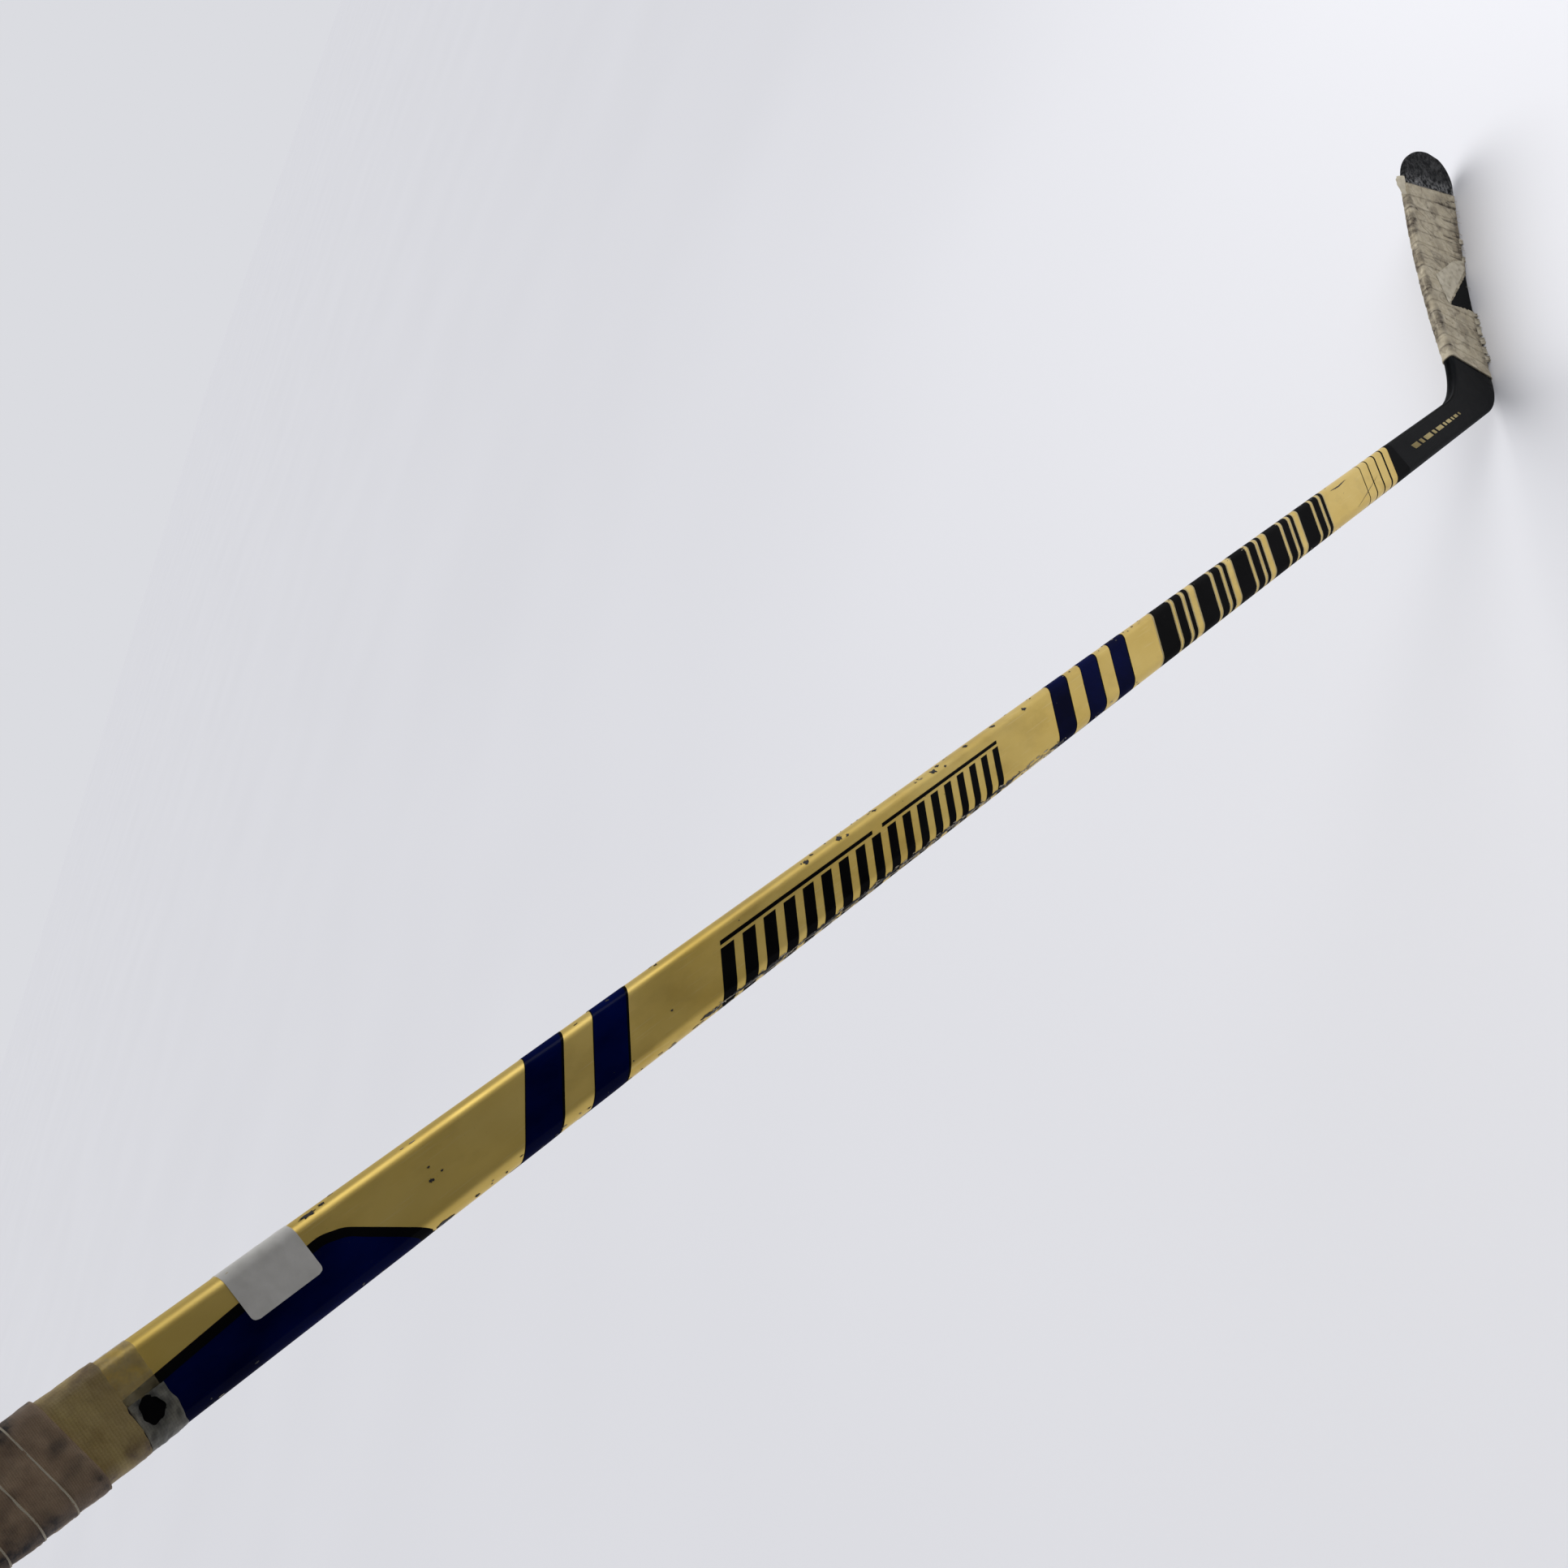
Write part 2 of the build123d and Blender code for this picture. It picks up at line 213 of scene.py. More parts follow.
def shaft_section(girth, lift=0.0):
    """Distance across and out of the shaft's section at a girth, raised from its surface."""
    wrapped = np.mod(girth + HALF_GIRTH, 2 * HALF_GIRTH) - HALF_GIRTH
    side, run = np.where(wrapped < 0, -1.0, 1.0), np.abs(wrapped)
    front_turn = np.clip((run - FLAT_WIDE) / CORNER, 0, math.pi / 2)
    back_turn = np.clip((run - SIDE_END) / CORNER, 0, math.pi / 2)
    turn = front_turn + back_turn
    on_front = np.minimum(run, FLAT_WIDE)
    on_side = np.clip(run - SIDE_START, 0, 2 * FLAT_NARROW)
    on_back = np.clip(run - BACK_START, 0, FLAT_WIDE)
    across = on_front + (CORNER + lift) * np.sin(turn) - on_back
    out = FLAT_NARROW + (CORNER + lift) * np.cos(turn) - on_side
    return side * across, out


def shaft_point(along, girth, lift=0.0):
    """Point on the shaft's surface, or raised from it, in millimetres."""
    along, girth, lift = np.broadcast_arrays(along, girth, lift)
    across, out = shaft_section(girth, lift)
    return along[..., None] * ALONG + across[..., None] * ACROSS + out[..., None] * OUT


def girths(low, high, step=GIRTH_STEP):
    """Sample girths that include every place where the section turns."""
    turns = [0, FLAT_WIDE, SIDE_START, SIDE_END, BACK_START, HALF_GIRTH]
    turns += [-g for g in turns]
    turns += [g - 2 * HALF_GIRTH for g in turns] + [g + 2 * HALF_GIRTH for g in turns]
    knots = [low] + [g for g in sorted(set(turns)) if low + 0.2 < g < high - 0.2] + [high]
    samples = []
    for start, end in zip(knots, knots[1:]):
        count = max(1, math.ceil((end - start) / step))
        samples.extend(np.linspace(start, end, count, endpoint=False))
    return np.array(samples + [high])


def girth_of(across):
    """Girth on the forehand side for a distance across the shaft."""
    over = np.clip((np.abs(across) - FLAT_WIDE) / CORNER, 0, 1)
    return np.sign(across) * (np.minimum(np.abs(across), FLAT_WIDE) + CORNER * np.arcsin(over))


ROUND = girths(-HALF_GIRTH, HALF_GIRTH)[:-1]
ROUND_ACROSS, _ = shaft_section(ROUND)


# ---------------------------------------------------------------- surface of the hosel and blade
def rocker(x):
    """Height of the blade's lower edge."""
    return BLADE_LIFT + (x - ROCKER_MIDDLE) ** 2 / (2 * ROCKER_RADIUS)


def upper_line(x):
    """Height of the blade's upper edge."""
    return HEEL_HEIGHT + UPPER_SLOPE * x


def edge_path(side, radius, meets):
    """Line down the hosel's edge, then a round of the given radius, until it meets the blade.

    side is +1 for the upper edge and -1 for the lower one. meets is the height of the blade's edge
    as a function of x. Returns the length of the line, the whole length, and a function of travel."""
    along, toward = ALONG[[0, 2]], ACROSS[[0, 2]]
    start = along * FUSE_HEIGHT + toward * HALF_WIDTH * side
    low, high = 100.0, FUSE_HEIGHT
    for _ in range(60):
        run = (low + high) / 2
        centre = start - along * run + toward * radius
        slope = (meets(centre[0] + 1) - meets(centre[0] - 1)) / 2
        foot = centre + radius * np.array([slope, -1]) / math.hypot(slope, 1)
        low, high = (run, high) if foot[1] > meets(foot[0]) else (low, run)
    arc_end = run + radius * (SHAFT_RISE + math.atan(slope))

    def at(travel):
        if travel < run:
            return start - along * travel
        if travel < arc_end:
            angle = -math.pi / 2 - SHAFT_RISE + (travel - run) / radius
            return centre + radius * np.array([math.cos(angle), math.sin(angle)])
        x = foot[0] + travel - arc_end
        return np.array([x, meets(x)])

    return run, arc_end, at


THROAT_START, THROAT_END, upper_at = edge_path(1, THROAT_RADIUS, upper_line)
_, HEEL_END, lower_at = edge_path(-1, HEEL_RADIUS, rocker)
TOE_LOWER_X = TOE_TIP - TOE_LOWER_RADIUS
TOE_UPPER_X = TOE_TIP - TOE_UPPER_RADIUS
TOE_START = HEEL_END + TOE_LOWER_X - lower_at(HEEL_END)[0]
TOE_TURNS = 89.0
# Thickness at each travel down the hosel and along the blade.
THICKNESS = (
    (0, 20.0), (45, 20.0), (THROAT_START, 15.2), (HEEL_END, 9.8),
    (HEEL_END + 100, 7.8), (HEEL_END + 245, 6.0), (HEEL_END + 280, 5.0),
)


def station_ends(travel):
    """Lower and upper end of the cross-section at a travel, which counts degrees round the toe."""
    if travel < THROAT_START:
        return lower_at(travel), upper_at(travel)
    if travel < HEEL_END:
        share = (travel - THROAT_START) / (HEEL_END - THROAT_START)
        return lower_at(travel), upper_at(between(THROAT_START, THROAT_END, share))
    if travel < TOE_START:
        share = (travel - HEEL_END) / (TOE_START - HEEL_END)
        lower_x = between(lower_at(HEEL_END)[0], TOE_LOWER_X, share)
        upper_x = between(upper_at(THROAT_END)[0], TOE_UPPER_X, share)
        return np.array([lower_x, rocker(lower_x)]), np.array([upper_x, upper_line(upper_x)])
    turn = math.radians(travel - TOE_START)
    reach = np.array([math.sin(turn), math.cos(turn)])
    lower = np.array([TOE_LOWER_X, rocker(TOE_LOWER_X) + TOE_LOWER_RADIUS])
    upper = np.array([TOE_UPPER_X, upper_line(TOE_UPPER_X) - TOE_UPPER_RADIUS])
    return lower + TOE_LOWER_RADIUS * reach * (1, -1), upper + TOE_UPPER_RADIUS * reach


# The stations, and their thickness, smoothed over a stretch on each side.
TRAVEL_STEP = 0.5
SMOOTH_REACH = 30
TRAVELS = np.arange(0.0, TOE_START + TOE_TURNS + TRAVEL_STEP / 2, TRAVEL_STEP)
ENDS = np.array([np.concatenate(station_ends(travel)) for travel in TRAVELS])
LOWER_X, _, UPPER_X, _ = ENDS.T
window = np.hanning(2 * SMOOTH_REACH + 1)
rough_thickness = np.pad(np.interp(TRAVELS, *zip(*THICKNESS)), SMOOTH_REACH, mode="edge")
HALF_THICK = np.convolve(rough_thickness, window / window.sum(), mode="valid") / 2

# Shares of the way round a section: half the lower edge, corner, forehand face, corner, upper
# edge, corner, backhand face, corner, half the lower edge.
SECTION_KNOTS = (0, 0.02, 0.08, 0.42, 0.48, 0.52, 0.58, 0.92, 0.98, 1.0)
FACE_TURNS = (0.08, 0.42)
FACE_HEIGHT = 70.0


def section_local(turn, a, b, r):
    """Position along and out of a rounded rectangle with half sizes a and b, at a share of a turn."""
    share = [np.clip((turn - low) / (high - low), 0, 1)
             for low, high in zip(SECTION_KNOTS, SECTION_KNOTS[1:])]
    sines = [r * np.sin(share[n] * math.pi / 2) for n in (1, 3, 5, 7)]
    versines = [r * (1 - np.cos(share[n] * math.pi / 2)) for n in (1, 3, 5, 7)]
    up = -a + versines[0] + 2 * (a - r) * share[2] + sines[1]
    up = up - versines[2] - 2 * (a - r) * share[6] - sines[3]
    out = (b - r) * share[0] + sines[0] - versines[1] - 2 * (b - r) * share[4]
    out = out - sines[2] + versines[3] + (b - r) * share[8]
    return up, out


def blade_point(travel, turn, lift=0.0, flatten=False):
    """Point on the hosel or blade, in millimetres. flatten gives the middle surface instead."""
    travel, turn, lift = np.broadcast_arrays(travel, turn, lift)
    lower_x, lower_z, upper_x, upper_z = (np.interp(travel, TRAVELS, line) for line in ENDS.T)
    half_thick = np.interp(travel, TRAVELS, HALF_THICK)
    corner = np.minimum(CORNER, CORNER_SHARE * 2 * half_thick)
    height = np.hypot(upper_x - lower_x, upper_z - lower_z)
    rise_x, rise_z = (upper_x - lower_x) / height, (upper_z - lower_z) / height
    middle_x, middle_z = (upper_x + lower_x) / 2, (upper_z + lower_z) / 2
    from_tip = np.clip(TOE_TIP - middle_x, 0, corner)
    half_thick = half_thick - corner + np.sqrt(corner ** 2 - (corner - from_tip) ** 2)
    a, b = height / 2 + lift, half_thick + lift
    r = np.minimum(np.minimum(corner + lift, a), b)
    up, out = section_local(np.mod(turn, 1.0), a, b, r)
    if flatten:
        out = out * 0
    sine = np.maximum(middle_x - CURVE_START, 0) / CURVE_RADIUS
    cosine = np.sqrt(1 - sine ** 2)
    x = middle_x + rise_x * cosine * up - sine * out
    y = -CURVE_RADIUS * (1 - cosine) - rise_x * sine * up - cosine * out
    return np.stack([x, y, middle_z + rise_z * up], axis=-1)


def on_forehand(x, z, lift=0.0):
    """Point on the blade's forehand face at a given x and z, found by a few Newton steps."""
    travel = np.interp(x, (LOWER_X + UPPER_X) / 2, TRAVELS)
    turn = np.clip(between(*FACE_TURNS, z / FACE_HEIGHT), 0.03, 0.47)
    travel_step, turn_step = 0.5, 0.002
    for _ in range(6):
        here = blade_point(travel, turn)
        by_travel = (blade_point(travel + travel_step, turn) - here) / travel_step
        by_turn = (blade_point(travel, turn + turn_step) - here) / turn_step
        miss_x, miss_z = x - here[..., 0], z - here[..., 2]
        det = by_travel[..., 0] * by_turn[..., 2] - by_travel[..., 2] * by_turn[..., 0]
        travel = travel + (miss_x * by_turn[..., 2] - miss_z * by_turn[..., 0]) / det
        turn = np.clip(turn + (miss_z * by_travel[..., 0] - miss_x * by_travel[..., 2]) / det, 0.02, 0.48)
    return blade_point(travel, turn, lift)


# ---------------------------------------------------------------- material helpers
def tint(red, green, blue):
    """Linear colour from ordinary 0-255 values."""
    return tuple((v / 255 / 12.92) if v < 11 else ((v / 255 + 0.055) / 1.055) ** 2.4
                 for v in (red, green, blue)) + (1.0,)


def grey(level):
    return (level, level, level, 1.0)


class Look:
    """A principled material, with helpers that build procedural patterns in millimetres."""

    def __init__(self, name, along_shaft=False, **values):
        self.made = bpy.data.materials.new(name)
        self.made.use_nodes = True
        self.nodes, self.links = self.made.node_tree.nodes, self.made.node_tree.links
        self.shader = self.nodes["Principled BSDF"]
        for key, value in values.items():
            self.shader.inputs[key.replace("_", " ")].default_value = value
        self.place = self.nodes.new("ShaderNodeTexCoord").outputs["Object"]
        self.relief = None
        if along_shaft:
            self.place = self.mapped((1, 1, 1), (0, math.pi - SHAFT_RISE, 0))

    def mapped(self, stretch, rotation=(0, 0, 0)):
        node = self.nodes.new("ShaderNodeMapping")
        node.inputs["Scale"].default_value = stretch
        node.inputs["Rotation"].default_value = rotation
        self.links.new(self.place, node.inputs["Vector"])
        return node.outputs["Vector"]

    def texture(self, kind, stretch=(1, 1, 1), **values):
        """Texture node of a kind, with its inputs set and its place stretched."""
        node = self.nodes.new("ShaderNodeTex" + kind)
        for key, value in values.items():
            node.inputs[key.replace("_", " ")].default_value = value
        self.links.new(self.mapped(stretch), node.inputs["Vector"])
        return node

    def noise(self, size, stretch=(1, 1, 1), detail=4.0, rough=0.55):
        node = self.texture("Noise", stretch, Scale=1 / (size * MM), Detail=detail, Roughness=rough)
        return node.outputs["Fac"]

    def cells(self, size):
        node = self.texture("Voronoi", Scale=1 / (size * MM))
        node.feature = "DISTANCE_TO_EDGE"
        return node.outputs["Distance"]

    def threads(self, pitch, direction):
        scale = 2 * math.pi / (20 * pitch * MM)
        node = self.texture("Wave", Scale=scale, Distortion=0.6, Detail_Scale=2.0)
        node.bands_direction = direction
        return node.outputs["Fac"]

    def attribute(self, name):
        node = self.nodes.new("ShaderNodeAttribute")
        node.attribute_name = name
        return node.outputs["Fac"]

    def ramp(self, value, *stops):
        """Colour or grey level, from (position, colour) stops along a pattern's value."""
        node = self.nodes.new("ShaderNodeValToRGB")
        band = node.color_ramp
        while len(band.elements) < len(stops):
            band.elements.new(0.5)
        for element, (position, colour) in zip(band.elements, stops):
            element.position = position
            element.color = colour if isinstance(colour, tuple) else grey(colour)
        self.links.new(value, node.inputs["Fac"])
        return node.outputs["Color"]

    def shades(self, value, first, second, low=0.3, high=0.7):
        return self.ramp(value, (low, first), (high, second))

    def mix(self, share, first, second):
        node = self.nodes.new("ShaderNodeMix")
        node.data_type = "RGBA"
        for socket, value in ((node.inputs[0], share), (node.inputs[6], first), (node.inputs[7], second)):
            if isinstance(value, (float, tuple)):
                socket.default_value = value
            else:
                self.links.new(value, socket)
        return node.outputs[2]

    def stain(self, base, colour, value, low, high, much):
        """The base, turning towards a colour where a pattern's value passes from low to high."""
        return self.mix(self.shades(value, 0.0, much, low, high), base, colour)

    def into(self, name, value):
        self.links.new(value, self.shader.inputs[name])

    def vary(self, name, first, second, size, stretch=(1, 1, 1), detail=4.0, rough=0.55, low=0.3,
             high=0.7):
        """Let an input of the shader run between two values with a noise pattern."""
        self.into(name, self.shades(self.noise(size, stretch, detail, rough), first, second, low, high))

    def bump(self, height, depth, strength=1.0):
        node = self.nodes.new("ShaderNodeBump")
        node.inputs["Distance"].default_value = depth * MM
        node.inputs["Strength"].default_value = strength
        self.links.new(height, node.inputs["Height"])
        if self.relief is not None:
            self.links.new(self.relief, node.inputs["Normal"])
        self.relief = node.outputs["Normal"]
        self.links.new(self.relief, self.shader.inputs["Normal"])


# ---------------------------------------------------------------- materials
def gold_paint():
    """Metallic paint with grime, dark marks and fine scratches along the shaft."""
    look = Look("gold_paint", True, Metallic=0.56, Coat_Weight=0.06, Coat_Roughness=0.2,
                Specular_IOR_Level=0.15)
    lengthwise = (0.03, 1, 1)
    base = look.shades(look.noise(60, (1, 2, 2)), tint(216, 184, 92), tint(228, 199, 114))
    base = look.stain(base, tint(158, 126, 58), look.noise(14, (0.5, 1, 1), 6), 0.52, 0.78, 0.32)
    base = look.stain(base, tint(96, 76, 36), look.noise(2.4, (1, 1, 1), 8, 0.7), 0.66, 0.74, 0.35)
    base = look.stain(base, tint(240, 226, 180), look.noise(0.9, lengthwise, 2), 0.62, 0.7, 0.16)
    look.into("Base Color", base)
    look.vary("Roughness", 0.33, 0.47, 20, (0.4, 1, 1), 5, high=0.75)
    look.bump(look.noise(1.6, detail=2), 0.006)
    look.bump(look.noise(0.9, lengthwise, 2), 0.01)
    return look.made


def flat_paint(name, deep, pale, rough=0.3):
    """Dull paint with some dust in it."""
    look = Look(name, True, Coat_Weight=0.06, Coat_Roughness=0.12, Specular_IOR_Level=0.0)
    base = look.shades(look.noise(25, (0.5, 1, 1), 5), deep, pale, 0.35)
    base = look.stain(base, tint(96, 92, 88), look.noise(3, (0.6, 1, 1), 8, 0.7), 0.64, 0.76, 0.1)
    look.into("Base Color", base)
    look.vary("Roughness", rough, rough + 0.16, 12, (0.4, 1, 1), 5, high=0.75)
    look.bump(look.noise(1.6, detail=2), 0.005)
    return look.made


def grainy(name, dark, light, grain, rough, relief, depth, full=0.7):
    """Fine-grained stuff, from the sizes of its grain, relief and roughness patterns.

    rough is the least roughness, the greatest, and the pattern's size. full is where the grain's
    pattern reaches the light colour."""
    least, greatest, size = rough
    look = Look(name, True)
    look.vary("Base Color", dark, light, grain, detail=6, high=full)
    look.vary("Roughness", least, greatest, size)
    look.bump(look.noise(relief), depth)
    return look.made


def blade_carbon():
    """Black clear-coated blade with a faint weave, duller and scuffed where "wear" says."""
    look = Look("blade_carbon", Coat_Weight=0.1, Coat_Roughness=0.22, Specular_IOR_Level=0.0)
    warp, weft = (look.shades(look.threads(2.2, direction), 0.0, 1.0) for direction in "XZ")
    weave = look.mix(0.5, warp, weft)
    base = look.mix(look.noise(18, detail=5), tint(8, 9, 10), tint(22, 23, 24))
    base = look.mix(look.mix(weave, grey(0.0), grey(0.05)), base, tint(60, 62, 66))
    patches = look.shades(look.noise(4, (0.7, 1, 1), 8, 0.75), 0.0, 1.0, 0.44, 0.62)
    base = look.mix(look.mix(look.attribute("wear"), grey(0.0), patches), base, tint(150, 150, 150))
    look.into("Base Color", base)
    look.vary("Roughness", 0.3, 0.55, 9, detail=6, high=0.75)
    look.bump(weave, 0.01)
    look.bump(look.noise(2.0, detail=6), 0.012)
    return look.made


def cloth_tape(name, clean, pale, dirt, weave=0.5, gloss=0.85, along_shaft=False, creases=0.0):
    """Woven cloth tape. The mesh's "dirt" attribute says where it is soiled."""
    look = Look(name, along_shaft)
    base = look.shades(look.noise(11, detail=7, rough=0.6), clean, pale, 0.32)
    faint = look.shades(look.noise(3.2, detail=8, rough=0.7), 0.0, 0.4, 0.4, 0.72)
    base = look.mix(faint, base, look.shades(look.noise(6), dirt, clean))
    if creases:
        lines = look.noise(24, (0.8, 1, 0.6), 3, 0.5)
        base = look.mix(look.ramp(lines, (0.465, 0.0), (0.5, creases), (0.535, 0.0)), base, dirt)
    blotches = look.shades(look.noise(5.5, detail=8, rough=0.7), 0.4, 1.0, 0.36, 0.6)
    base = look.mix(look.mix(look.attribute("dirt"), grey(0.0), blotches), base, dirt)
    cloth = look.mix(0.5, look.threads(weave, "X"), look.threads(weave, "Z"))
    base = look.mix(look.mix(cloth, grey(0.14), grey(0.0)), base, dirt)
    look.into("Base Color", base)
    look.vary("Roughness", gloss - 0.12, gloss, 6)
    look.bump(cloth, 0.05, 0.6)
    look.bump(look.noise(3.5, detail=7, rough=0.65), 0.35, 0.7)
    return look.made


def clear_film():
    """Thin cloudy film that the paint below shows through."""
    look = Look("clear_film", True, Coat_Weight=0.3, Coat_Roughness=0.15)
    lengthwise = (1, 0.4, 1)
    look.vary("Base Color", tint(140, 124, 84), tint(196, 184, 150), 4, detail=6)
    look.vary("Alpha", 0.08, 0.36, 5, lengthwise, 8, 0.65, 0.35)
    look.vary("Roughness", 0.2, 0.45, 3, detail=6)
    look.bump(look.noise(2.5, lengthwise, 5), 0.08)
    return look.made


def paper_label():
    """Blank paper with faint smudges."""
    look = Look("blank_label", True)
    base = look.shades(look.noise(9, detail=6), tint(188, 186, 180), tint(208, 206, 201))
    base = look.stain(base, tint(140, 136, 128), look.noise(1.6, detail=8, rough=0.7), 0.68, 0.74, 0.5)
    look.into("Base Color", base)
    look.vary("Roughness", 0.5, 0.62, 5)
    look.bump(look.noise(5, detail=3), 0.05)
    look.bump(look.noise(0.4), 0.004)
    return look.made


def hidden_stuff(name, dark, light, grain, rough):
    """Foam, glue and inner carbon, which other pieces cover."""
    look = Look(name)
    look.vary("Base Color", dark, light, grain * 4, detail=6)
    look.vary("Roughness", rough, rough + 0.15, grain * 2)
    look.bump(look.cells(grain), 0.05)
    return look.made


def stage_look(name, dark, light, size, detail, **values):
    """Nearly even finish for the floor and the card."""
    look = Look(name, **values)
    look.vary("Base Color", dark, light, size, detail=detail)
    return look.made


GOLD = gold_paint()
FADED_GOLD = flat_paint("faded_gold_paint", tint(138, 124, 84), tint(196, 180, 130), 0.4)
BLACK = flat_paint("black_paint", tint(7, 7, 8), tint(15, 15, 16))
BLUE = flat_paint("blue_paint", tint(1, 4, 38), tint(3, 15, 70))
PALE_LINE = flat_paint("pale_line_paint", tint(176, 166, 132), tint(206, 196, 164))
CARBON = grainy("bare_carbon", tint(9, 8, 9), tint(32, 29, 27), 1.2, (0.45, 0.75, 2.0), 0.5, 0.04, 0.75)
SCUFF = grainy("scuffed_clear_coat", tint(128, 112, 84), tint(214, 205, 182), 1.5, (0.5, 0.8, 2.0),
               0.6, 0.03)
RUBBER = grainy("rubber_cap", tint(20, 20, 21), tint(44, 43, 42), 4.0, (0.55, 0.75, 3.0), 0.8, 0.02)
BLADE = blade_carbon()
WHITE_TAPE = cloth_tape("white_cloth_tape", tint(178, 166, 140), tint(206, 196, 172), tint(58, 46, 34),
                        creases=0.38)
CLEAN_TAPE = cloth_tape("clean_cloth_tape", tint(190, 182, 160), tint(214, 206, 186), tint(110, 96, 76))
BROWN_TAPE = cloth_tape("brown_grip_tape", tint(132, 108, 84), tint(164, 140, 112), tint(24, 15, 16),
                        0.6, 0.75, True)
OLD_TAPE = cloth_tape("yellowed_tape", tint(150, 128, 74), tint(178, 158, 100), tint(84, 62, 40),
                      0.9, 0.6, True)
SCRAP = cloth_tape("tape_residue", tint(72, 74, 68), tint(132, 127, 112), tint(18, 21, 26),
                   0.8, 0.6, True)
FILM = clear_film()
LABEL = paper_label()
FOAM = hidden_stuff("core_foam", tint(198, 178, 120), tint(224, 208, 156), 0.7, 0.8)
GLUE = hidden_stuff("set_glue", tint(150, 142, 110), tint(190, 184, 150), 1.4, 0.3)
INNER = hidden_stuff("inner_carbon", tint(16, 16, 18), tint(38, 38, 40), 1.1, 0.45)


# ---------------------------------------------------------------- paint on the shaft
SLANT = 0.81            # every stripe leans by this much along the shaft per mm across it
SUNK = -0.03            # how far a paint layer reaches into the one below
BLACK_LIFT = 0.06
END_LIFT = 0.09
BLUE_LIFT = 0.10
CHIP_LIFT = 0.14
SCUFF_LIFT = 0.17


def layer(along, girth, lift, floor=SUNK, around=False, keep=None):
    """Closed layer on the shaft between two heights over its surface."""
    return sheet(shaft_point(along, girth, lift), shaft_point(along, girth, floor), around, keep)


def painted(name, shells, material):
    """One piece of paint or wear on the shaft, from its shells."""
    finish_piece(name, *join_shells(shells), material, "shaft_paint")


def ring(low, high, lift):
    """Slanted band right round the shaft. low and high are where it is at the face's middle."""
    return layer(between(low, high, down(3)) - SLANT * ROUND_ACROSS, ROUND, lift, around=True)


def slanted_bar(low, high, bottom, top, lift=BLACK_LIFT):
    """Slanted bar on the forehand face between two girths. low and high are at the face's middle."""
    around = girths(bottom, top)
    across, _ = shaft_section(around)
    return layer(between(low, high, down(3)) - SLANT * across, around, lift)


def blot(along, girth, length, breadth, lift=CHIP_LIFT, spikes=17, ragged=0.62):
    """Small ragged patch, such as a chip in the paint."""
    angle = np.linspace(0, 2 * math.pi, spikes, endpoint=False) + rng.uniform(-0.12, 0.12, spikes)
    reach = down(3) * (1 - ragged * rng.random(spikes))
    s = along + reach * np.cos(angle) * length / 2
    g = girth + reach * np.sin(angle) * breadth / 2
    return layer(s, g, lift, around=True)


def streak(path, width, lift=CHIP_LIFT):
    """Thin tapering scratch through (along, girth) points."""
    knots_s, knots_g = np.array(path, float).T
    leg = np.concatenate([[0], np.cumsum(np.hypot(np.diff(knots_s), np.diff(knots_g)))])
    at = np.linspace(0, leg[-1], max(4, int(leg[-1] / 1.2)))
    s, g = np.interp(at, leg, knots_s), np.interp(at, leg, knots_g)
    g = g + rng.normal(0, 0.1 * width, len(at))
    half = width / 2 * np.sin(np.linspace(0.15, math.pi - 0.15, len(at))) * rng.uniform(0.6, 1.1, len(at))
    step_s, step_g = np.gradient(s), np.gradient(g)
    size = np.hypot(step_s, step_g)
    side_s, side_g = -step_g / size * half, step_s / size * half
    return layer(np.stack([s - side_s, s, s + side_s]), np.stack([g - side_g, g, g + side_g]), lift)


def build_shaft():
    """The hollow painted tube."""
    joint_room, row = 3.0, 6.0
    rows = [[FUSE_HEIGHT], np.arange(FUSE_HEIGHT + joint_room, TUBE_TOP - 2, row), [TUBE_TOP]]
    along = np.concatenate(rows)[:, None]
    shell = layer(along, ROUND, 0.0, -TUBE_WALL, around=True)
    finish_piece("painted_shaft", *shell, GOLD, "shaft_paint", ("shaft_tube",))


# Stripes that run right round the shaft: upper edge at the middle of the face.
BLUE_STRIPES = (1243.0, 1208.0, 854.4, 819.4, 784.4)
STRIPE_WIDTH = 18.0
STRIPE_SHADOW = 1.3
KEYLINE = 0.45
# The pinstripes above the black end: middle and width, growing toward it.
PINSTRIPES = ((368.0, 1.2), (352.0, 1.8), (335.0, 2.4), (318.0, 3.0))
BLACK_END = 305.0


def build_stripes():
    """Blue stripes with a thin black line on each side, black pinstripes, and the black end."""
    blue = [ring(top - STRIPE_WIDTH, top, BLUE_LIFT) for top in BLUE_STRIPES]
    black = []
    for top in BLUE_STRIPES:
        foot = top - STRIPE_WIDTH
        black.append(ring(foot - STRIPE_SHADOW, foot, BLACK_LIFT))
        black.append(ring(top, top + KEYLINE, BLACK_LIFT))
    black += [ring(middle - width / 2, middle + width / 2, BLACK_LIFT) for middle, width in PINSTRIPES]
    painted("blue_stripes", blue, BLUE)
    painted("black_stripes", black, BLACK)
    along = between(FUSE_HEIGHT, BLACK_END - SLANT * ROUND_ACROSS, down(6))
    painted("black_shaft_end", [layer(along, ROUND, END_LIFT, around=True)], BLACK)


# Plain slanted strokes where the stick is decorated. The first row narrows toward the blade.
STROKES = 18
STROKE_START = 1134.0
STROKE_WIDTH = (8.6, 5.4)
STROKE_PITCH = (14.2, 11.0)
STROKE_TOP = 4.0
STROKE_DROP = 1.5
RAIL = 1.6
RAIL_GAP = 1.2
# The second row: groups of three full-height blocks, down the shaft, each as (drop, width).
GROUPS = 5
GROUP_START = 727.0
GROUP_PITCH = 58.0
GROUP_BLOCKS = ((0.0, 23.0), (28.0, 10.0), (43.0, 5.0))
LINE_GAP = 0.4
LINE_WIDTH = 1.0


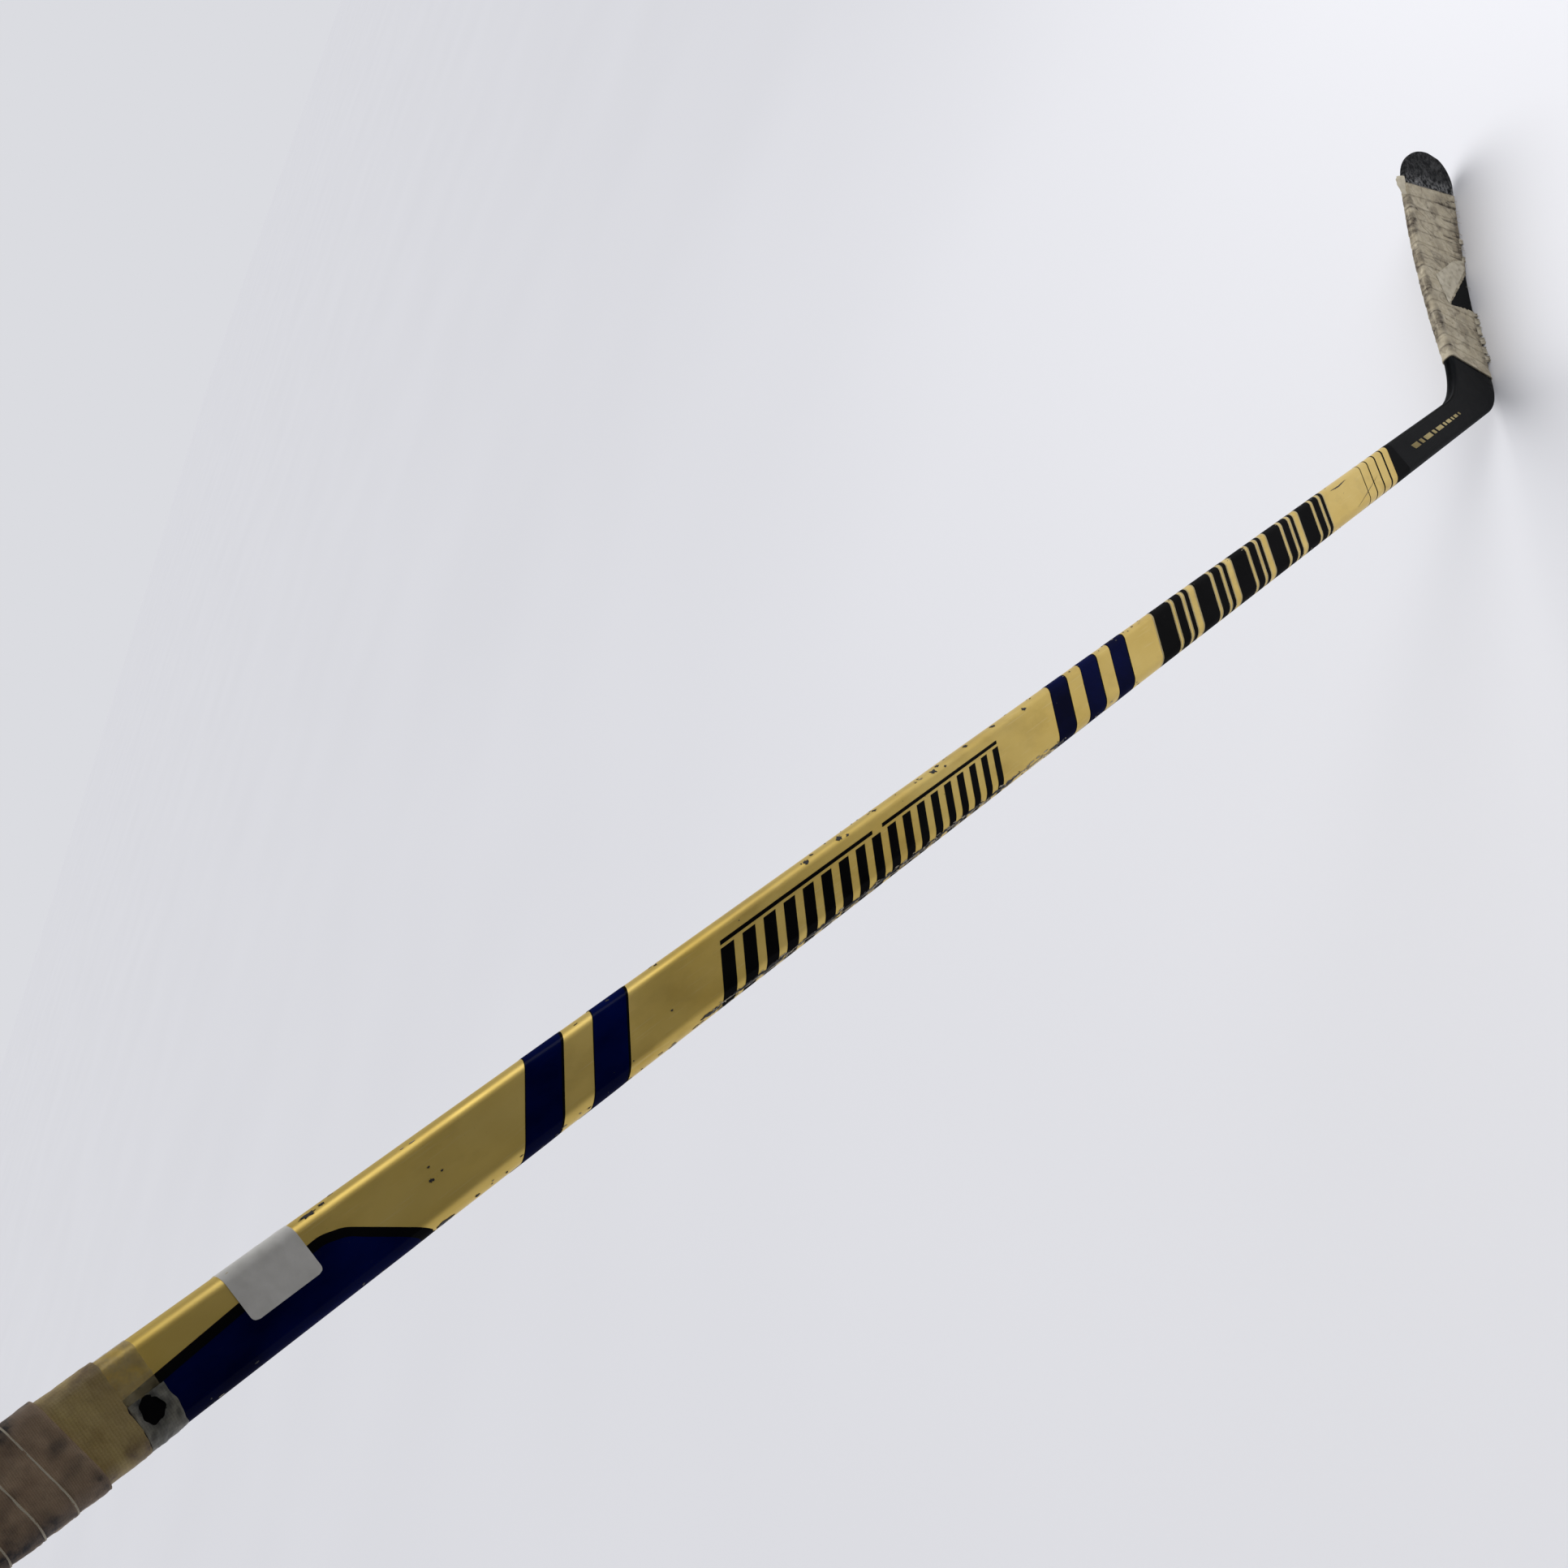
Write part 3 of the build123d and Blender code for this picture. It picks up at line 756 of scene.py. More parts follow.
def build_strokes():
    """A row of slanted strokes under a thin rail that is broken in the middle."""
    strokes, top = [], STROKE_START
    for number in range(STROKES):
        share = number / (STROKES - 1)
        foot = top - between(*STROKE_WIDTH, share)
        strokes.append(slanted_bar(foot, top, -SIDE_START - STROKE_DROP, STROKE_TOP))
        top -= between(*STROKE_PITCH, share)
    middle = (STROKE_START + top) / 2
    rail = STROKE_TOP + RAIL_GAP
    for start, end in ((STROKE_START, middle + 4), (middle - 4, top + 6)):
        strokes.append(slanted_bar(end, start, rail, rail + RAIL))
    painted("slanted_strokes", strokes, BLACK)


def build_blocks():
    """A row of full-height slanted blocks with a pale line on each side."""
    blocks, lines = [], []
    for group in range(GROUPS):
        for drop, width in GROUP_BLOCKS:
            top = GROUP_START - group * GROUP_PITCH - drop
            foot = top - width
            blocks.append(slanted_bar(foot, top, -SIDE_START, SIDE_START))
            for edge in (foot - LINE_GAP - LINE_WIDTH, top + LINE_GAP):
                lines.append(slanted_bar(edge, edge + LINE_WIDTH, -SIDE_START, SIDE_START))
    painted("slanted_blocks", blocks, BLACK)
    painted("block_keylines", lines, PALE_LINE)


# The dark wedge below the grip: its upper boundary, as (along, across).
WEDGE_EDGE = ((1294.0, -15.6), (1320.0, 3.6), (1328.0, 6.0), (1335.0, 5.6), (1400.0, 1.0))
WEDGE_BORDER = 3.2
WEDGE_ROUNDING = 9


def wedge_layer(inset, lift):
    """Layer from the wedge's boundary, moved in by the inset, down and round the lower side."""
    start, end = WEDGE_EDGE[0][0], WEDGE_EDGE[-1][0]
    known_s, known_w = np.array(WEDGE_EDGE).T
    slope = (known_w[1] - known_w[0]) / (known_s[1] - known_s[0])
    fine = np.arange(start - 30, end + 31, 0.5)
    edge = np.where(fine < start, known_w[0] + slope * (fine - start), np.interp(fine, known_s, known_w))
    padded = np.pad(edge, WEDGE_ROUNDING // 2, mode="edge")
    edge = np.convolve(padded, np.ones(WEDGE_ROUNDING) / WEDGE_ROUNDING, mode="valid")
    edge = edge - inset * np.sqrt(1 + np.gradient(edge, fine) ** 2)
    along = np.arange(start - 3, end + 0.1, 1.0)
    height = np.interp(along, fine, edge)
    along, height = along[height > -HALF_WIDTH - 1.2], height[height > -HALF_WIDTH - 1.2]
    top = girth_of(np.clip(height, -HALF_WIDTH, HALF_WIDTH))[:, None]
    middle = -SIDE_START - FLAT_NARROW
    around = middle + np.linspace(-1, 1, 70) * (top - middle)
    return layer(along[:, None], around, lift)


def build_wedge():
    """The blue wedge inside its black border."""
    painted("wedge_border", [wedge_layer(0.0, BLACK_LIFT)], BLACK)
    painted("wedge_fill", [wedge_layer(WEDGE_BORDER, BLUE_LIFT)], BLUE)


# Chips through the paint: along, across, length, breadth.
CHIPS = (
    (1326.5, 13.4, 8.0, 2.2), (1321.0, 13.8, 3.0, 1.4), (1287.6, -1.2, 3.4, 1.6), (1285.6, 3.0, 1.4, 0.9),
    (1282.4, -0.6, 1.6, 0.8), (1291.0, -14.7, 10.0, 2.4), (1276.0, -14.4, 3.0, 1.5),
    (1063.0, 12.6, 5.0, 3.0), (1057.0, 14.0, 3.0, 2.0), (1038.0, 12.9, 5.4, 3.6), (1033.0, 11.6, 3.0, 1.8),
    (1008.0, 13.8, 4.0, 2.2), (960.0, 12.4, 6.6, 3.8), (954.0, 13.6, 3.6, 2.4), (951.0, 11.2, 2.4, 1.6),
    (928.0, 13.6, 4.4, 2.8), (901.0, 13.8, 5.0, 2.6), (873.0, 11.4, 5.0, 3.0), (1188.0, 13.9, 2.6, 1.4),
    (1168.0, -4.0, 1.8, 0.9), (862.0, -14.2, 5.0, 2.4), (740.0, 13.9, 3.0, 1.4), (600.0, -14.0, 4.0, 1.6),
    (452.0, 13.8, 5.0, 1.6),
)
# Scratches, each a width and its (along, across) points.
SCRATCHES = (
    (1.1, ((423, 10.4), (408, 9.8), (391, 10.6))),
    (0.35, ((404, -11.4), (380, -7.6), (342, -1.0))),
)
# Long dark streaks that make a broken dark line on the lower corner of the face: middle and length.
DARK_LINE_STREAKS = ((1121, 40), (1080, 34), (1040, 44), (1003, 30), (966, 46), (922, 34), (868, 16), (1152, 14))
DARK_LINE_WIDTH = 2.0
DARK_LINE_ACROSS = 13.7


def edge_girth(low, high):
    """Random girth on one of the two rounded corners of the forehand face."""
    return rng.uniform(girth_of(low), girth_of(high))


def build_chips():
    """Chips down to the carbon, most of them on the corners, and a broken dark line of bare-carbon colour
    on the lower corner of the face.
    """
    chips = [blot(s, girth_of(w), length, breadth) for s, w, length, breadth in CHIPS]
    for _ in range(70):
        side = rng.choice([-1, 1])
        s, g = rng.uniform(420, 1380), side * edge_girth(12.6, 14.9)
        chips.append(blot(s, g, rng.uniform(0.6, 2.6), rng.uniform(0.4, 1.2)))
    for _ in range(26):
        s, g = rng.uniform(400, 1300), rng.uniform(-HALF_GIRTH, HALF_GIRTH)
        chips.append(blot(s, g, rng.uniform(0.4, 1.2), rng.uniform(0.3, 0.7)))
    chips += [streak(path, width) for width, path in SCRATCHES]
    # a broken dark line in the bare carbon's colour, along the lower corner of the face
    g = -girth_of(DARK_LINE_ACROSS)
    for s, length in DARK_LINE_STREAKS:
        path = ((s + length / 2, g), (s, g - 0.6), (s - length / 2, g + 0.2))
        chips.append(streak(path, DARK_LINE_WIDTH))
    painted("paint_chips_and_dark_line", chips, CARBON)


def build_scuffs():
    """Pale scuffs of the clear coat, thickest along the lower corner of the face."""
    scuffs = []
    for s in np.arange(880.0, 1150.0, 17.0):
        g, length = -girth_of(rng.uniform(13.6, 14.6)), rng.uniform(8, 22)
        path = ((s, g), (s + length / 2, g + rng.normal(0, 0.4)), (s + length, g + rng.normal(0, 0.4)))
        scuffs.append(streak(path, rng.uniform(0.35, 0.8), SCUFF_LIFT))
    for _ in range(120):
        s, g = rng.normal(1000, 90), -edge_girth(12.8, 14.95)
        scuffs.append(blot(s, g, rng.uniform(1.0, 5.5), rng.uniform(0.3, 1.1), SCUFF_LIFT, 11, 0.6))
    for _ in range(60):
        side = rng.choice([-1, 1])
        s, g = rng.uniform(430, 1380), side * edge_girth(12.8, 14.9)
        scuffs.append(blot(s, g, rng.uniform(0.8, 4.0), rng.uniform(0.25, 0.7), SCUFF_LIFT, 11, 0.6))
    painted("coat_scuffs", scuffs, SCUFF)


# ---------------------------------------------------------------- hosel and blade
TAPE_START = 7.3
TAPE_END = (246.0, 222.0)     # toe side of the tape, at the lower and at the upper edge


def tape_end(z):
    """x at which the blade's tape ends, at a height."""
    return between(*TAPE_END, z / BLADE_TOP)


def build_blade():
    """The two skins, each a half shell that meets the other along the edges."""
    halves = (
        ("blade_forehand", "blade_skin_forehand", SECTION_KNOTS[:5] + (0.5,)),
        ("blade_backhand", "blade_skin_backhand", (0.5,) + SECTION_KNOTS[5:]),
    )
    straight = np.arange(0, TOE_START, 3.0)
    travel = np.concatenate([straight, np.linspace(TOE_START, TRAVELS[-1], 60)])[:, None]
    for name, node, knots in halves:
        spans = [np.linspace(a, b, 7 if b - a < 0.1 else 26) for a, b in zip(knots, knots[1:])]
        around = np.unique(np.concatenate(spans))
        outer = blade_point(travel, around)
        middle = blade_point(travel, around, flatten=True)
        depth = np.minimum(SKIN / np.interp(travel, TRAVELS, HALF_THICK), 0.85)
        shell = sheet(outer, between(outer, middle, depth[..., None]))
        piece = finish_piece(name, *shell, BLADE, "blade_carbon", (node,))
        x, _, z = np.array([vertex.co for vertex in piece.data.vertices]).T / MM
        beyond = x - tape_end(z)
        bare_toe = smooth_step(20, 2, beyond) * (beyond > -6)
        wear = 0.62 * bare_toe + (0.16 + 0.3 * smooth_step(9, 2, z)) * (beyond > 0)
        store(piece, "wear", np.maximum(wear, 0.12 * smooth_step(20, 0, z) * (x < 30)))


# Small dashes down the hosel, as (high, low) along the shaft.
DASHES = ((252.0, 238.0), (233.0, 226.0), (221.0, 203.0), (198.0, 192.0), (187.0, 172.0), (167.0, 162.0),
          (158.0, 148.0), (144.0, 140.0), (136.0, 128.0), (123.0, 119.5))
DASH_HALF = 2.3
DASH_LIFT = 0.07


def build_dashes():
    """Plain dashes on the hosel, each a little narrower than the one above it."""
    shells = []
    for index, (high, low) in enumerate(DASHES):
        across = np.linspace(-1, 1, 4) * DASH_HALF * (1 - 0.05 * index)
        travel = FUSE_HEIGHT - down(6, low, high) - across * SLANT
        turn = 0.25 + (FACE_TURNS[1] - FACE_TURNS[0]) * across / (2 * FLAT_WIDE)
        shells.append(sheet(blade_point(travel, turn, DASH_LIFT), blade_point(travel, turn, SUNK)))
    finish_piece("hosel_dashes", *join_shells(shells), FADED_GOLD, "blade_carbon")


# ---------------------------------------------------------------- tape on the blade
WRAPS = 15
WRAP_ROWS = (0.0, 0.035, 0.1, 0.18, 0.26, 0.34, 0.42, 0.5, 0.58, 0.66, 0.74, 0.82, 0.9, 0.965)
TAPE_COLUMNS = 186
TAPE_FLOOR = 0.04
TAPE_LIFT = 0.62
WRAP_STEP = 0.34
EDGE_STEP = 0.10
CREASE_DEPTH = 0.16
SLIT_DEPTH = 0.75
LIFT_ROOM = (0.12, 1.35)      # least and most height of the tape above the blade
# The tear, as (x, z) corners; its lower side is carried past the blade's lower edge to cut it.
TEAR = ((85.0, 38.0), (98.0, 2.0), (153.0, 1.0))
TEAR_CUT = (TEAR[0], (98.0, -3.0), (154.0, -3.0))
TEAR_SNAP = 0.75
FRAY = 0.35
# Dark slits and open creases: x and z of the foot, x and z of the head, half width.
SLITS = (
    (163.0, 2.0, 158.0, 22.0, 1.2), (172.0, 2.0, 167.0, 17.0, 0.9), (187.0, 2.0, 181.0, 28.0, 1.3),
    (192.0, 3.0, 189.0, 14.0, 0.7), (209.0, 2.0, 203.0, 27.0, 1.2), (216.0, 2.0, 212.0, 13.0, 0.7),
    (228.0, 2.0, 221.0, 31.0, 1.2), (238.0, 2.0, 232.0, 15.0, 0.7), (50.0, 2.0, 46.0, 14.0, 0.6),
    (70.0, 2.0, 66.0, 17.0, 0.6), (34.0, 2.0, 31.0, 12.0, 0.5), (80.0, 2.0, 78.0, 24.0, 0.5),
    (120.0, 62.0, 112.0, 48.0, 0.5), (176.0, 60.0, 168.0, 44.0, 0.6), (196.0, 66.0, 190.0, 52.0, 0.6),
    (140.0, 50.0, 133.0, 38.0, 0.5), (60.0, 52.0, 57.0, 40.0, 0.5), (205.0, 48.0, 199.0, 36.0, 0.5),
)
# Soiled patches: x, z, reach along x, reach along z, how dirty.
SOILED = (
    (54, 60, 17, 6, 0.9), (98, 65, 12, 5, 0.8), (171, 72, 18, 6, 1.0), (203, 73, 10, 4, 0.7),
    (130, 69, 14, 4, 0.55), (20, 57, 10, 4, 0.6), (60, 4, 34, 5, 0.55), (190, 5, 40, 6, 0.7),
    (26, 6, 14, 7, 0.5), (226, 20, 10, 14, 0.45), (75, 28, 5, 18, 0.3), (148, 34, 26, 12, 0.25),
    (205, 38, 18, 10, 0.25), (112, 28, 10, 12, 0.3),
)


def crossing(turn, line):
    """Travel at which each turn reaches a line across the blade, given as x for a height z."""
    travel = TRAVELS[(TRAVELS > THROAT_START - 20) & (TRAVELS < TOE_START + 40)]
    found = []
    for value in turn:
        x, _, z = blade_point(travel, value).T
        found.append(np.interp(0.0, x - line(z), travel))
    return np.array(found)


def distance_to_segment(x, z, x1, z1, x2, z2):
    """Distance of points from a segment, and the share of the way along it."""
    span = (x2 - x1) ** 2 + (z2 - z1) ** 2
    share = np.clip(((x - x1) * (x2 - x1) + (z - z1) * (z2 - z1)) / span, 0, 1)
    return np.hypot(x - between(x1, x2, share), z - between(z1, z2, share)), share


def outline(corners):
    """The sides of a polygon, as pairs of corners."""
    return zip(corners, corners[1:] + corners[:1])


def inside(x, z, corners):
    """Whether points lie inside a convex polygon."""
    signs = [(x2 - x1) * (z - z1) - (z2 - z1) * (x - x1) for (x1, z1), (x2, z2) in outline(corners)]
    signs = np.array(signs)
    return np.all(signs > 0, axis=0) | np.all(signs < 0, axis=0)


def slit_depth(x, z):
    """Nearness to the slits, each narrowing towards its head: 1 in a slit, 0 away from them."""
    depth = np.zeros_like(x)
    for x1, z1, x2, z2, half in SLITS:
        away, share = distance_to_segment(x, z, x1, z1, x2, z2)
        depth = np.maximum(depth, smooth_step(half * (1.9 - 1.2 * share), half * 0.35, away))
    return depth


def soil(x, z):
    """How dirty the soiled patches make each point."""
    amount = np.zeros_like(x)
    for middle_x, middle_z, reach_x, reach_z, much in SOILED:
        away = np.hypot((x - middle_x) / reach_x, (z - middle_z) / reach_z)
        amount = np.maximum(amount, much * smooth_step(1.25, 0.2, away))
    return amount


def snap_to_tear(x, z, near, grids):
    """Pull the grid's points near the tear onto its frayed outline."""
    fray = FRAY * np.sin(x * 2.1) * np.sin(z * 3.3)
    for (x1, z1), (x2, z2) in outline(TEAR):
        away, share = distance_to_segment(x, z, x1, z1, x2, z2)
        pull = (away < TEAR_SNAP) & near
        for grid in grids:
            grid[..., 0] = np.where(pull, between(x1, x2, share) + fray, grid[..., 0])
            grid[..., 2] = np.where(pull, between(z1, z2, share) + fray, grid[..., 2])


def build_blade_tape():
    """Overlapping wraps with creases, slits and a tear, laid on the blade as one grid."""
    turn = np.linspace(0, 1, TAPE_COLUMNS, endpoint=False)
    first, last = crossing(turn, lambda z: TAPE_START), crossing(turn, tape_end)
    rows = np.array([n + part for n in range(WRAPS) for part in WRAP_ROWS] + [WRAPS]) / WRAPS
    travel = between(first, last, rows[:, None])
    turn = turn * np.ones_like(travel)
    plain = blade_point(travel, turn)
    x, z = plain[..., 0], plain[..., 2]
    on_face = (turn > 0.02) & (turn < 0.48)

    # each wrap lies over the last one; behind the blade the spiral climbs by one wrap
    climb = np.clip((turn - 0.5) / 0.5, 0, 1)
    wrap = rows[:, None] * WRAPS + climb
    whole = np.floor(wrap + 1e-6)
    share = wrap - whole
    ridge = 1 - share + 0.25 * np.sin(2.4 * whole) * share
    crease = hump(Waves(13, 14, 8)(x, 0.7 * z), 0, 0.16) * smooth_step(18, 40, x)
    slit = slit_depth(x, z) * on_face
    worn = smooth_step(5.0, 0.5, z)
    lift = TAPE_LIFT + WRAP_STEP * ridge + EDGE_STEP * hump(share, 0.02, 0.03)
    lift = lift + 0.09 * Waves(9, 16, 5)(x, z * 0.6) + 0.05 * Waves(3.2, 22, 6)(x * 0.8, z)
    lift = lift - CREASE_DEPTH * crease - SLIT_DEPTH * slit
    lift = np.clip(between(lift, 0.6 + 0.05 * Waves(5, 12, 7)(x, z), worn), *LIFT_ROOM)
    outer, inner = blade_point(travel, turn, lift), blade_point(travel, turn, TAPE_FLOOR)

    # the tear: its outline, then what lies inside it is left out
    front = (turn > 0.03) & (turn < 0.47)
    snap_to_tear(x, z, front & (z > 1.2), (outer, inner))
    middle_x = (x[:-1] + x[1:]) / 2
    middle_z = (z[:-1] + np.roll(z, -1, axis=1)[:-1]) / 2
    torn = inside(middle_x, middle_z, TEAR_CUT) & (front | (turn < 0.03) | (turn > 0.985))[:-1]
    points, faces = sheet(outer, inner, around=True, keep=~torn)
    points[:, 2] = np.maximum(points[:, 2], 0.02)

    # soiling: patches, slits, wrap edges, the far rim, creases and the worn lower edge
    rim = hump(turn, 0.528, 0.03) * smooth_step(16, 40, x) * smooth_step(214, 196, x)
    near_edges = smooth_step(30, 0, np.minimum(z, 70 - z) + 10)
    dirt = soil(x, z) * between(0.35, 1.0, on_face) + 0.95 * slit + 0.35 * hump(share, 0, 0.05)
    dirt = dirt + rim * (0.75 + 0.3 * Waves(15, 14, 10)(x, 0)) + 0.38 * crease + 0.5 * worn
    dirt = dirt + 0.06 + 0.12 * Waves(20, 12, 9)(x, z)
    dirt = dirt + 0.28 * np.clip(Waves(6, 20, 11)(x, z), 0, 2) * near_edges
    soiled_piece("blade_wrap", (points, faces), dirt, WHITE_TAPE, "white_tape", ("blade_tape",))


STRIP_LIFT = 1.2
STRIP_THICKNESS = 0.28
STRIP_LOWER = ((85.0, 40.0), (153.2, 1.6))
STRIP_UPPER = ((117.0, 51.0), (152.0, 20.0), (162.5, 1.6))
STRIP_BEND = 0.62             # where the upper side turns, as a share of the strip's length


def build_strip():
    """The clean strip laid over the tear, along its upper side."""
    shares, width = down(60), np.linspace(0, 1, 16)
    (low_x1, low_z1), (low_x2, low_z2) = STRIP_LOWER
    high_x, high_z = (np.interp(shares, (0.0, STRIP_BEND, 1.0), line) for line in zip(*STRIP_UPPER))
    ragged = FRAY * np.sin(shares * 61) * np.sin(shares * 23)
    x = between(between(low_x1, low_x2, shares), high_x + ragged, width)
    z = between(between(low_z1, low_z2, shares), high_z + ragged, width)
    lift = STRIP_LIFT + 0.08 * Waves(7, 14, 21)(x, z) + 0.12 * np.sin(width * math.pi)
    shell = sheet(on_forehand(x, z, lift), on_forehand(x, z, lift - STRIP_THICKNESS))
    dirt = 0.1 + 0.25 * Waves(8, 12, 22)(x, z) + 0.5 * smooth_step(8, 1, z)
    soiled_piece("blade_strip", shell, dirt, CLEAN_TAPE, "white_tape", ("blade_tape_strip",))


def tube(path, radius, sides=6):
    """Closed thread along a path, tapering to half its size at the end."""
    heading = np.gradient(path, axis=0)
    heading /= np.linalg.norm(heading, axis=1)[:, None]
    first = np.cross(heading, (0.3, 0.2, 1.0))
    first /= np.linalg.norm(first, axis=1)[:, None]
    second = np.cross(heading, first)
    size = radius * np.linspace(1.0, 0.5, len(path))[:, None, None]
    angle = np.linspace(0, 2 * math.pi, sides, endpoint=False)[None, :, None]
    rings = path[:, None] + size * (first[:, None] * np.cos(angle) + second[:, None] * np.sin(angle))
    last, faces = (len(path) - 1) * sides, []
    for i in range(0, last, sides):
        for j in range(sides):
            k = (j + 1) % sides
            faces.append((i + j, i + k, i + sides + k, i + sides + j))
    faces += [tuple(reversed(range(sides))), tuple(range(last, last + sides))]
    return rings.reshape(-1, 3), faces


# Where loose threads hang from the lower edge: x from, x to, how many.
THREADS = ((26, 96, 60), (156, 204, 16), (205, 244, 5), (96, 150, 2))
# Frayed tabs of tape on the lower edge: x, width, length.
TABS = ((34, 7, 2.6), (45, 9, 1.7), (57, 8, 3.0), (70, 10, 1.9), (82, 7, 2.8), (91, 5, 2.0),
        (164, 6, 1.2), (187, 7, 1.6))
THREAD_LIFT = 0.8
TAB_LIFT = 0.75
TAB_THICKNESS = np.array([0.0, 0.12, -0.3])


def loose_thread(low, high):
    """One thread, hanging out and down from a random place near the lower edge."""
    x, z = rng.uniform(low, high), rng.uniform(1.0, 5.0)
    root = on_forehand(np.array([x]), np.array([z + 1.0]), THREAD_LIFT)[0]
    length, lean = rng.uniform(1.0, 3.8), rng.normal(0.0, 0.5)
    run = np.linspace(0, 1, 7)
    aside = lean * length * run + 0.5 * np.sin(run * rng.uniform(2, 7))
    out = -length * run * rng.uniform(0.5, 1.0)
    fall = -(z + 0.6) * np.minimum(1, run * 1.4) + 0.5 * np.sin(run * math.pi) * rng.uniform(0, 2)
    path = root + np.stack([aside, out, fall], axis=1)
    path[:, 2] = np.maximum(path[:, 2], 0.25)
    return tube(path, rng.uniform(0.12, 0.26))


def frayed_tab(x, width, length):
    """One torn tab of tape with a ragged end, folded out over the lower edge."""
    across, drop = np.linspace(-1, 1, 8), down(9)
    spot_x = x + across * width / 2 * (1 - 0.15 * drop) + 0.5 * drop * np.sin(9 * across + x)
    root = on_forehand(spot_x[0], np.full(8, 4.5), TAB_LIFT)
    out = -length * drop * (0.75 + 0.35 * np.sin(7 * across + x))
    fall = -4.0 * np.minimum(1, drop * 1.3) + 0.5 * drop * np.sin(3 * across + x)
    outer = root + np.stack([spot_x - spot_x[0], out, fall], axis=-1)
    outer[..., 2] = np.maximum(outer[..., 2], 0.6)
    return sheet(outer, outer + TAB_THICKNESS)


def build_threads():
    """Loose threads and frayed tabs of tape along the lower edge."""
    threads = [loose_thread(low, high) for low, high, count in THREADS for _ in range(count)]
    soiled_piece("loose_threads", join_shells(threads), 0.05, CLEAN_TAPE, "white_tape")
    points, faces = join_shells([frayed_tab(*tab) for tab in TABS])
    dirt = 0.15 + 0.3 * Waves(5, 10, 33)(points[:, 0], points[:, 1])
    soiled_piece("frayed_tabs", (points, faces), dirt, CLEAN_TAPE, "white_tape")


TOE_TAB = (209.0, 231.0)      # x from and to
TOE_TAB_LIFT = 0.9
TOE_TAB_DROP = 1.6
TOE_TAB_THICKNESS = 0.34


def build_toe_tab():
    """The end of the wrap, standing up above the upper edge near the toe."""
    share, up = np.linspace(0, 1, 30), down(12)
    crest = 3.4 + 5.2 * np.sin(share * math.pi * 0.85 + 0.2) + 0.5 * np.sin(share * 19)
    travel = np.interp(between(*TOE_TAB, share), UPPER_X, TRAVELS)
    root = blade_point(travel, SECTION_KNOTS[4] - 0.01, TOE_TAB_LIFT)
    back = 3.2 * (up * 0.4 + up ** 2 * 0.6) * (0.6 + share) - 0.6
    outer = root + np.stack([3.3 * up * share, back, up * crest - TOE_TAB_DROP], axis=-1)
    shell = sheet(outer, outer - TOE_TAB_THICKNESS * OUT)
    dirt = 0.04 + 0.12 * up * np.ones_like(share)
    soiled_piece("toe_tab", shell, dirt, CLEAN_TAPE, "white_tape")


# ---------------------------------------------------------------- tapes and label near the grip
GRIP_END = 1415.0
BASE_END = 1399.5
CLEAR_END = 1389.0
BASE_LIFT = 0.5
GRIP_LIFT = 1.5
KNOB_LENGTH = 28.0
KNOB_BUILD = 4.5
GRIP_PITCH = 9.6
GRIP_LEAN = 0.16
GRIP_STEP = 0.36
GRIP_ROWS = (0.0, 0.04, 0.1, 0.2, 0.3, 0.4, 0.5, 0.6, 0.7, 0.8, 0.88, 0.95, 0.985)
EDGE_WIDTH = 0.5
EDGE_DEPTH = 0.5
grip_lumps = Waves(9, 16, 51)


def knob_height(along):
    """Height that the knob's roll adds under the grip tape."""
    return KNOB_BUILD * smooth_step(TUBE_TOP - KNOB_LENGTH - 5, TUBE_TOP - KNOB_LENGTH + 4, along)


def grip_lean(along):
    """How far the wraps lean along the shaft; they run level at the butt end."""
    return GRIP_LEAN * ROUND_ACROSS * smooth_step(TUBE_TOP, TUBE_TOP - 12, along)


def build_grip():
    """The wound brown grip with its knob: every wrap steps up onto the one before it."""
    count = (TUBE_TOP - GRIP_END) / GRIP_PITCH
    wrap = np.array([n + part for n in range(int(count) + 1) for part in GRIP_ROWS])
    wrap = np.append(wrap[wrap < count - 0.05], count)[:, None]
    plain = GRIP_END + wrap * GRIP_PITCH
    along = plain + grip_lean(plain)
    share = wrap - np.floor(wrap + 1e-6)
    ridge = GRIP_STEP * (1 - smooth_step(0.0, 0.9, share))
    uneven = 0.08 * grip_lumps(along, ROUND) + 0.04 * Waves(2.6, 24, 52)(along, ROUND)
    rounding = 1 - 0.14 * smooth_step(TUBE_TOP - 6, TUBE_TOP, plain)
    lift = GRIP_LIFT - 0.22 + ridge + uneven + knob_height(plain) * rounding
    lift = np.maximum(lift, BASE_LIFT + 0.3)
    shell = layer(along, ROUND, lift, BASE_LIFT, around=True)
    patches = smooth_step(-0.5, 0.5, Waves(13, 12, 53)(along, ROUND))
    dirt = 1.15 * hump(np.abs(ROUND), 14.5, 3.6) * (0.35 + 0.65 * patches)
    dirt = dirt + 0.3 * np.clip(Waves(11, 12, 54)(along, ROUND), 0, 2) + 0.12
    soiled_piece("grip_wrap", shell, dirt - 0.5 * hump(share, 0, 0.06), BROWN_TAPE, "brown_tape",
                 ("grip_tape",))
    edges = [grip_edge(number) for number in range(1, int(count))]
    soiled_piece("grip_wrap_edges", join_shells(edges), 0.45, CLEAN_TAPE, "brown_tape")


def grip_edge(number):
    """The pale woven edge of one wrap, a thin ring just proud of the wraps."""
    start = GRIP_END + number * GRIP_PITCH
    rag = 0.12 * Waves(4, 12, 90 + number)(ROUND, 0.4 * ROUND)
    along = start + EDGE_WIDTH * down(3) * (1 + rag) + grip_lean(start)
    lift = GRIP_LIFT + 0.2 + knob_height(start + EDGE_WIDTH * down(3))
    lift = lift + 0.08 * grip_lumps(along, ROUND)
    return layer(along, ROUND, lift, lift - EDGE_DEPTH, around=True)


